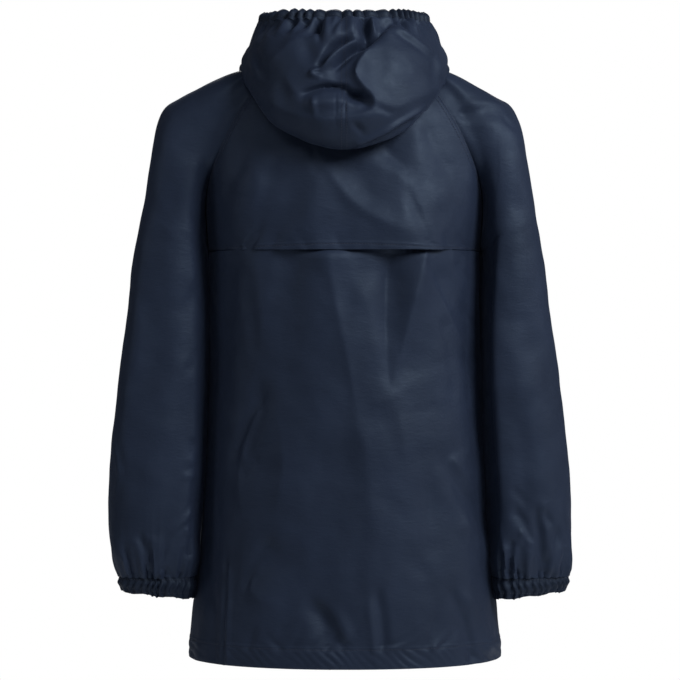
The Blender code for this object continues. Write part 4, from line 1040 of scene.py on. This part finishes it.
def make_yoke():
    stations = steps((0, 8.5, 60), (8.5, UNDERARM, 12))
    rows = [spaced_points(upper_row(at, 1, 1.0, -1.0), YOKE_COLUMNS, 6) for at in stations]
    cloth = Cloth("back_yoke", rows, face_out=-1.0)
    x, z = cloth.across_and_up()
    fade = side_fade(cloth, 0.15)
    soft = crease_push(x, z, YOKE_FORMS) * np.minimum(np.array(stations)[:, None] / 3.0, 1.0)
    cloth.push(fade * (soft + vent_lift(x) * smooth_step(-z, 104.0, 180.0)))
    cloth.tuck()
    fine = crease_push(x, z, YOKE) + fold_push(x, z, YOKE_FOLDS) - 2.0 * fade \
        + 1.3 * uneven(cloth.points, 0.055, 1) + 0.5 * uneven(cloth.points, 0.018, 2)
    hem = cloth.from_edge("bottom")
    ripple = 0.35 * np.sin(x / 3.1 + 2.0 * np.sin(x / 17.0)) * np.exp(-(hem / MM / 9.0) ** 2)
    cloth.push(cloth.inward(2, 12) * (fine + ripple * (0.5 + uneven(cloth.points, 0.03, 5)) * 2)
               + hem_relief(hem, [VENT_HEM / MM], 0.6)
               + seam_relief(cloth, "start") + seam_relief(cloth, "end") - 0.7)
    return cloth


def hem_puckers(x, z, strength):
    """Slanting puckers that the stitching draws into the hem casing."""
    phase = 2 * math.pi * (x - 1.05 * (z - HEM_Z)) / 10.5
    phase = phase + 1.6 * np.sin(x / 19.0) + 1.1 * np.sin(x / 7.3 + 1.0)
    size = 0.55 + 0.3 * np.sin(x / 13.0 + 0.6) + 0.2 * np.sin(x / 5.9)
    inside = smooth_step(z, HEM_Z - 1, HEM_Z + 3.5) * (1 - smooth_step(z, HEM_Z + 17, HEM_Z + 21))
    return strength * size * (np.abs(np.cos(phase / 2)) ** 0.9 - 0.5) * inside


def make_back():
    places = steps((0.0, 0.94, 112), (0.94, 1.0, 22))
    rows = []
    for share in places:
        def path(turn, share=share):
            angle = math.pi / 2 * (1.0 - 2.0 * turn)
            x = abs(lower_point(angle, VENT_HEM_Z / MM, 1).x)
            beyond = float(smooth_step(x, VENT_SIDE - VENT_RAMP, VENT_SIDE))
            top = VENT_HEM_Z + VENT_LAP + VENT_OVERLAP * (1.0 - beyond)
            return lower_point(angle, (top + (HEM_Z * MM - top) * share) / MM, 1)
        rows.append(spaced_points(path, BACK_COLUMNS, 5, samples=300))
    cloth = Cloth("back_panel", rows, face_out=-1.0)
    x, z = cloth.across_and_up()
    below = smooth_step(-z, 186, 215)
    cloth.push(side_fade(cloth, 0.15) * crease_push(x, z, BACK_FORMS) * below)
    flare(cloth.points)
    cloth.tuck()
    fine = (crease_push(x, z, BACK) + fold_push(x, z, BACK_FOLDS)
            - 3.0 * side_fade(cloth, 0.15)) * smooth_step(-z, 178, 190)
    fine = fine + 1.6 * uneven(cloth.points, 0.07, 3) + 0.6 * uneven(cloth.points, 0.02, 4)
    middle = 0.55 + 0.45 * np.exp(-((x + 30) / 90.0) ** 2)
    cloth.push(cloth.inward(2, 12) * (fine + hem_puckers(x, z, 1.7) * middle)
               + hem_relief(cloth.from_edge("bottom"), [HEM_CASING / MM], 0.7) - 0.4)
    return cloth


def make_front(side):
    stations = steps((0, UNDERARM, 60))
    levels = steps((0.0, 0.94, 92), (0.94, 1.0, 14))[1:]
    rows = [spaced_points(upper_row(at, -1, 0.0, side), FRONT_COLUMNS, 5, samples=260)
            for at in stations]
    for level in levels:
        z = BODY[1].z + (HEM_Z - BODY[1].z) * level

        def path(share, height=z):
            return lower_point(side * math.pi / 2 * share, height, -1)
        rows.append(spaced_points(path, FRONT_COLUMNS, 5, samples=260))
    cloth = Cloth(sided("front", side), rows, face_out=-side)
    x, z = cloth.across_and_up()
    at = np.concatenate((np.array(stations), np.full(len(levels), UNDERARM)))[:, None]
    fade = side_fade(cloth, 0.3) * np.minimum(at / 3.0, 1.0)
    cloth.push(fade * crease_push(x, z, FRONT_FORMS))
    flare(cloth.points)
    cloth.find_normals()
    outer = smooth_step(cloth.from_edge("end") / MM, 2, 12)
    centre = smooth_step(cloth.from_edge("start") / MM, 14, 30)
    top = smooth_step(cloth.from_edge("top") / MM, 2, 14)
    fine = crease_push(x, z, FRONT) + 1.6 * uneven(cloth.points, 0.07, 6) \
        + 0.6 * uneven(cloth.points, 0.02, 7)
    hem = hem_relief(cloth.from_edge("bottom"), [HEM_CASING / MM], 0.7)
    below = (np.arange(len(rows)) > len(stations) - 1)[:, None]
    seam = np.where(below, 0.0, seam_relief(cloth, "end"))
    cloth.push(top * outer * centre * (fine + hem_puckers(x, z, 1.3))
               + (hem - 0.4) * below + seam)
    return cloth


def make_sleeve(side):
    stations = steps((0, UNDERARM, 64))
    places = steps((0.0, 8.0, 100), (8.0, len(SLEEVE) - 1, 36))[1:]
    paths = [sleeve_arc(at, side) for at in stations] + [sleeve_ring(at, side) for at in places]
    rows = [spaced_points(path, SLEEVE_COLUMNS, 5, samples=300) for path in paths]
    cloth = Cloth(sided("sleeve", side), rows, closed_from=len(stations) - 1, face_out=side)
    reach = cloth.across()
    turn = reach / reach[:, -1:]
    along = np.concatenate((np.full(len(stations), -1.0), np.array(places)))[:, None]
    x, z = cloth.across_and_up()
    forms = creases(*((along0 * SLEEVE_ROW, turn0, along1 * SLEEVE_ROW, turn1, push, push, width)
                      for along0, turn0, along1, turn1, push, width in SLEEVE_FORMS))
    soft = crease_push(along * SLEEVE_ROW + 0 * turn, turn, forms)
    cloth.push(soft * smooth_step(along, 0.0, 0.9))
    # ease the turn into the hanging sleeve, and the shoulder on both sides of its top
    share = np.linspace(0.0, 1.0, cloth.points.shape[1])
    cloth.smooth_rows(len(stations) - 1, 16, 80,
                      smooth_step(share, 0.03, 0.10) * (1 - smooth_step(share, 0.70, 0.80)))
    cloth.smooth_rows(34, 26, 60, smooth_step(np.abs(share - 0.5), 0.10, 0.22)
                      * smooth_step(0.5 - np.abs(share - 0.5), 0.02, 0.08))
    cloth.tuck()
    back = LEFT_SLEEVE_BACK if side > 0 else RIGHT_SLEEVE_BACK
    bent = LEFT_SLEEVE_FOLDS if side > 0 else RIGHT_SLEEVE_FOLDS
    fine = facing(cloth, 1) * (crease_push(x, z, back) + fold_push(x, z, bent)) \
        + facing(cloth, -1) * crease_push(side * x, z, SLEEVE_FRONT)
    fine = fine + 1.5 * uneven(cloth.points, 0.06, 8 + side) + 0.6 * uneven(cloth.points, 0.02, 9)
    # gathers running up from the casing
    up = cloth.from_edge("bottom") / MM
    waves = gather_wave(turn, CUFF_GATHERS, CUFF_SEED + side) - MEAN_WAVE
    reach_up = 14.0 + 16.0 * np.sin(2 * math.pi * turn * 4.5 + side) ** 2 \
        + 12.0 * np.sin(2 * math.pi * turn * 11 + 2 * side) ** 2
    fine = fine + CUFF_GATHER * waves * gather_size(turn, side) * np.exp(-(up / reach_up) ** 1.4)
    open_rows = (np.arange(len(rows)) < len(stations) - 1)[:, None]
    seams = np.minimum(cloth.from_edge("start"), cloth.from_edge("end")) / MM
    near = np.where(open_rows, smooth_step(seams, 2, 12), 1.0)
    near = near * smooth_step(cloth.from_edge("top") / MM, 2, 14)
    # the inner edge stays off the body
    side_on = smooth_step(-side * cloth.normals[..., 0], 0.55, 0.95) * (along >= 0)
    fine = fine * (1 - side_on)
    seam = np.where(open_rows, -0.6 * np.exp(-(seams / 1.3) ** 2), 0.0)
    cloth.push(near * fine + seam)
    return cloth


def make_cuff(side):
    """The gathered casing that closes a sleeve."""
    count = CUFF_GATHERS * CUFF_STEPS
    top = spaced_points(sleeve_ring(len(SLEEVE) - 1, side), count)
    centre = top[:-1].mean(axis=0)
    turn = np.linspace(0.0, 1.0, count + 1)
    wave = gather_wave(turn, CUFF_GATHERS, CUFF_SEED + side)
    size = gather_size(turn, side)
    out = top - centre
    out = out / np.linalg.norm(out, axis=1, keepdims=True)
    # an edge that is caught inside the sleeve's gathers
    inside = CUFF_GATHER * size * (wave - MEAN_WAVE) - 1.8
    rows = [top + out * (inside * MM)[:, None] + np.array((0.0, 0.0, CAUGHT * MM))]
    for level in np.linspace(0.0, 1.0, 13):
        drop = CUFF_HEIGHT * level
        # two rows of stitching hold the elastic, and the cloth swells between them
        swell = 1.5 * math.sin(math.pi * min(level * 1.15, 1.0)) ** 2 - 2.2 * level ** 3
        depth = 3.6 + 2.0 * math.sin(math.pi * level)
        slant = 0.35 * math.sin(2.2 * math.pi * level) / CUFF_GATHERS
        shifted = gather_wave(turn + slant, CUFF_GATHERS, CUFF_SEED + side)
        lift = swell - 0.6 + depth * size * (0.6 * shifted + 0.4 * wave - 0.75)
        edge = 0.7 * np.sin(2 * math.pi * turn * 9 + side) * level
        lower = 4.5 * np.cos(2 * math.pi * turn) * level        # the inner side hangs lower
        row = top + out * (lift * MM)[:, None]
        row[:, 2] -= drop + (edge + lower) * MM
        rows.append([clear_of_body(Vector(point), side) for point in row])
    return Cloth(sided("cuff", side), rows, closed_from=0, face_out=side)


def neckline(yoke, sleeve, front, side):
    """Half the neckline as (bearings, points), from centre back to centre front."""
    middle = yoke.points.shape[1] // 2
    back = yoke.points[0][middle::-1] if side > 0 else yoke.points[0][middle:]
    points = np.concatenate((back, sleeve.points[0][1:], front.points[0][-2::-1]))
    bearings = np.degrees(np.arctan2(np.abs(points[:, 0]), points[:, 1] - HOOD_CENTRE_Y))
    return np.maximum.accumulate(bearings), points


def rim_gathers(turn):
    return gather_wave(turn, RIM_GATHERS, RIM_SEED, 2.0), gather_size(turn, 3.0)


def make_hood(side, neck):
    bearings = 180.0 * np.linspace(0.0, 1.0, HOOD_COLUMNS + 1) ** 1.4
    start = read_line(bearings, *neck)
    start[0, 0] = start[-1, 0] = 0.0
    places = steps((0.0, LOWEST_FOLD, 30), (LOWEST_FOLD, len(HOOD) - 1, 118))
    rows = [start] + [np.array([hood_point(at, bearing, side) for bearing in bearings])
                      for at in places]
    cloth = Cloth(sided("hood", side), rows, face_out=-side)
    at = np.concatenate(([-1.0], places))[:, None]
    x, z = cloth.across_and_up()
    outside = smooth_step(at, LOWEST_FOLD - 0.3, LOWEST_FOLD + 0.5)
    behind = outside * smooth_step(-bearings, -104.0, -82.0)[None, :]
    fine = behind * fold_push(x, z, HOOD_FOLDS)
    round_it = crease_push(np.broadcast_to(bearings / HOOD_ROW, x.shape), at + 0 * x, [
        c._replace(x0=c.x0 / HOOD_ROW, x1=c.x1 / HOOD_ROW) for c in HOOD_ROUND])
    fine = fine + round_it + 1.8 * uneven(cloth.points, 0.045, 11) \
        + 0.8 * uneven(cloth.points, 0.016, 12)
    fine = fine * np.where(at < LOWEST_FOLD, cloth.inward(0, 6), 1.0)
    turn = (bearings * side / 360.0)[None, :]
    rim = cloth.from_edge("bottom") / MM
    wave, size = rim_gathers(turn)
    fine = fine * smooth_step(rim, 0.0, 5.0) \
        + RIM_GATHER * (wave - MEAN_WAVE) * size * np.exp(-(rim / 16.0) ** 1.5)
    cloth.push(fine * smooth_step(cloth.from_edge("top") / MM, 0, 10))
    # both halves end on the middle plane
    cloth.points[:, 0, 0] = cloth.points[:, -1, 0] = 0.0
    return cloth


def make_rim(hoods):
    """The gathered casing round the face opening, on the edge of the two hood halves."""
    edge = np.concatenate((hoods[1].points[-1], hoods[-1].points[-1][::-1][1:]))
    angle = np.unwrap(np.arctan2(edge[:, 0], edge[:, 1] - HOOD_CENTRE_Y))
    count = RIM_GATHERS * RIM_STEPS
    wanted = np.linspace(angle[0], angle[-1], count + 1)
    sign = 1.0 if angle[-1] > angle[0] else -1.0
    base = read_line(sign * wanted, sign * angle, edge)
    wave, size = rim_gathers(wanted / (2 * math.pi))
    frames = np.array([[tuple(way) for way in rim_frame(point)] for point in base])
    normals, ups = frames[:, 0], frames[:, 1]
    # an edge that is caught inside the hood's gathers
    inside = RIM_GATHER * size * (wave - MEAN_WAVE) - 1.6
    rows = [base + normals * (inside * MM)[:, None] - ups * CAUGHT * MM]
    for level in np.linspace(0.0, 1.0, 11):
        swell = 1.5 * math.sin(math.pi * level) ** 2 - 1.2 * level ** 4
        depth = (1.8 + 2.0 * math.sin(math.pi * level)) * size
        lift = swell + depth * (wave - 0.75)
        height = (RIM_HEIGHT + 1.0 * MM * (size - 0.7) * wave * 2) * level
        rows.append(base + normals * (lift * MM)[:, None]
                    + ups * np.broadcast_to(height, (count + 1,))[:, None])
    return Cloth("hood_rim", rows, closed_from=0, face_out=-1.0)


def make_flap():
    """The placket over the closed centre front, from the rim to the hem."""
    half = FLAP_HALF_WIDTH / MM
    across = half * np.concatenate((np.linspace(1, 0.86, 4)[:-1], np.linspace(0.86, -0.86, 15),
                                    np.linspace(-0.86, -1, 4)[1:]))
    rows = []
    for step in np.linspace(10.08, 11.0 / 12.0, 26):
        reach = blend_rows(HOOD, step).r180
        rows.append([hood_point(step, 180.0 - math.degrees(math.asin(x / reach)), 1)
                     for x in across])
    for at in np.linspace(0.0, UNDERARM, 60)[1:]:
        rows.append([front_point(at, x) for x in across])
    for share in np.linspace(0.0, 1.0, 120)[1:]:
        rows.append([front_point(UNDERARM + share, x) for x in across])
    cloth = Cloth("storm_flap", rows)
    x, z = cloth.across_and_up()
    edges = np.minimum(cloth.from_edge("start"), cloth.from_edge("end")) / MM
    wave = 0.9 * uneven(cloth.points, 0.05, 15) + 0.5 * uneven(cloth.points, 0.014, 16)
    inward = smooth_step(edges, 0, 8)
    cloth.push(FLAP_STAND / MM - 1.2 * (1 - inward) + wave * (0.1 + 0.9 * inward)
               + hem_relief(edges * MM, [FLAP_STITCH / MM], 0.4) - 0.4 * inward
               + 0.2 * np.sin(z / 21.0) * x / half)
    return cloth


# ---- assembly ----
SHELL = (0.0145, 0.0210, 0.0410)
# painted shade: the casings are the shell's own nylon, coloured darker to stand for the shade in
# their gathers
CASING_NAVY_PAINTED_SHADE = (0.0082, 0.0121, 0.0242)
shell = coated_nylon("shell_nylon_navy", SHELL, 0.54)
gathered = coated_nylon("elastic_casing_navy_painted_shade", CASING_NAVY_PAINTED_SHADE, 0.54)
thread = thread_material()

yoke, back = make_yoke(), make_back()
fronts = {side: make_front(side) for side in (1, -1)}
sleeves = {side: make_sleeve(side) for side in (1, -1)}
necks = {side: neckline(yoke, sleeves[side], fronts[side], side) for side in (1, -1)}
hoods = {side: make_hood(side, necks[side]) for side in (1, -1)}
cuffs = {side: make_cuff(side) for side in (1, -1)}
rim, flap = make_rim(hoods), make_flap()

pieces = {}
for cloth in (yoke, back, *fronts.values(), *sleeves.values(), *hoods.values(), flap):
    pieces[cloth.name] = build_shell(cloth, shell)
# the cuffs and the rim take the casing nylon, whose darker colour is painted shade for their gathers
for cloth in (*cuffs.values(), rim):
    pieces[cloth.name] = build_shell(cloth, gathered, CASING)

ABOVE_UNDERARM = 61         # rows of a front beside its raglan seam
HOOD_SEAM_FROM = 34         # first row of a hood half whose centre seam is stitched
stitches = {
    "stitches_yoke": [yoke.line("bottom", VENT_HEM)]
    + [yoke.line(edge, distance * MM) for edge in ("start", "end") for distance in SEAM_STITCHES],
    "stitches_hem": [cloth.line("bottom", HEM_CASING) for cloth in (back, *fronts.values())],
    "stitches_fronts": [front.line("end", distance * MM, 0, ABOVE_UNDERARM)
                        for front in fronts.values() for distance in SEAM_STITCHES],
    "stitches_flap": [flap.line(edge, FLAP_STITCH) for edge in ("start", "end")],
    "stitches_cuffs": [cuff.line("top", distance * MM)
                       for cuff in cuffs.values() for distance in CUFF_STITCHES],
    "stitches_rim": [rim.line("top", RIM_STITCH)],
    "stitches_hood": [hood.line("start", HOOD_STITCH, HOOD_SEAM_FROM) for hood in hoods.values()],
}


def ride_in_slot(piece):
    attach(piece, "root")


for name, lines in stitches.items():
    ride_in_slot(stitch_row(lines, name, thread))
for name, piece in pieces.items():
    ride_in_slot(piece)
    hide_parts(name)


# ---- floor, light and camera ----
FLOOR_Z, FLOOR_RADIUS = -1.03, 2.0
CAMERA_X, CAMERA_DISTANCE, CAMERA_Z = 0.00424, 2.7, -0.276
FRAME_WIDTH = 0.7208        # what the picture spans at the coat's middle
SENSOR = 36.0               # millimetres


def disc(name, radius, z, material, corners=96):
    turns = [2 * math.pi * corner / corners for corner in range(corners)]
    mesh = bpy.data.meshes.new(name)
    mesh.from_pydata([(radius * math.cos(turn), radius * math.sin(turn), z) for turn in turns],
                     [], [list(range(corners))])
    mesh.materials.append(material)
    return add_object(name, mesh)


def soft_light(name, place, aim, size, power, colour=(1.0, 1.0, 1.0)):
    light = bpy.data.lights.new(name, "AREA")
    light.shape = "RECTANGLE"
    light.size, light.size_y = size
    light.energy = power
    light.color = colour
    lamp = add_object(name, light)
    lamp.location = place
    lamp.rotation_euler = (Vector(aim) - Vector(place)).to_track_quat("-Z", "Y").to_euler()


pale = new_material("floor_pale", Base_Color=(0.82, 0.82, 0.82, 1.0), Roughness=0.7)[0]
disc("floor", FLOOR_RADIUS, FLOOR_Z, pale)

# the camera sees a white room, which lights the coat only faintly
world = bpy.data.worlds.new("studio")
world.use_nodes = True
bpy.context.scene.world = world
tree = world.node_tree
tree.nodes.clear()
seen = add_node(tree, "Background", Color=(1.0, 1.0, 1.0, 1.0), Strength=1.0)
room = add_node(tree, "Background", Color=(0.93, 0.97, 1.0, 1.0), Strength=0.06)
sight = add_node(tree, "LightPath").outputs["Is Camera Ray"]
mix = add_node(tree, "MixShader", {"Fac": sight, 1: room.outputs[0], 2: seen.outputs[0]})
add_node(tree, "OutputWorld", {"Surface": mix.outputs[0]})

soft_light("key_upper_right", (-1.2, 1.2, 0.85), (0, 0, -0.2), (0.8, 0.8), 34,
           (0.97, 0.99, 1.0))
soft_light("fill_camera", (0.3, 2.3, 1.3), (0, 0, -0.2), (1.4, 1.2), 10, (0.97, 0.98, 1.0))
soft_light("edge_left", (1.7, 0.8, 0.4), (0.1, 0, -0.3), (0.6, 1.4), 4.0)
soft_light("edge_right", (-1.9, 0.3, 0.3), (-0.1, 0, -0.3), (0.6, 1.6), 6)
soft_light("front", (0.0, -2.6, 0.5), (0, 0, -0.3), (0.5, 2.2), 55)

camera = add_object("camera", bpy.data.cameras.new("camera"))
camera.data.sensor_width = SENSOR
camera.data.lens = SENSOR * CAMERA_DISTANCE / FRAME_WIDTH
camera.location = (CAMERA_X, CAMERA_DISTANCE, CAMERA_Z)
camera.rotation_euler = (math.radians(90), 0.0, math.radians(180))
bpy.context.scene.camera = camera
bpy.context.scene.view_settings.view_transform = "Standard"
bpy.context.scene.view_settings.look = "None"
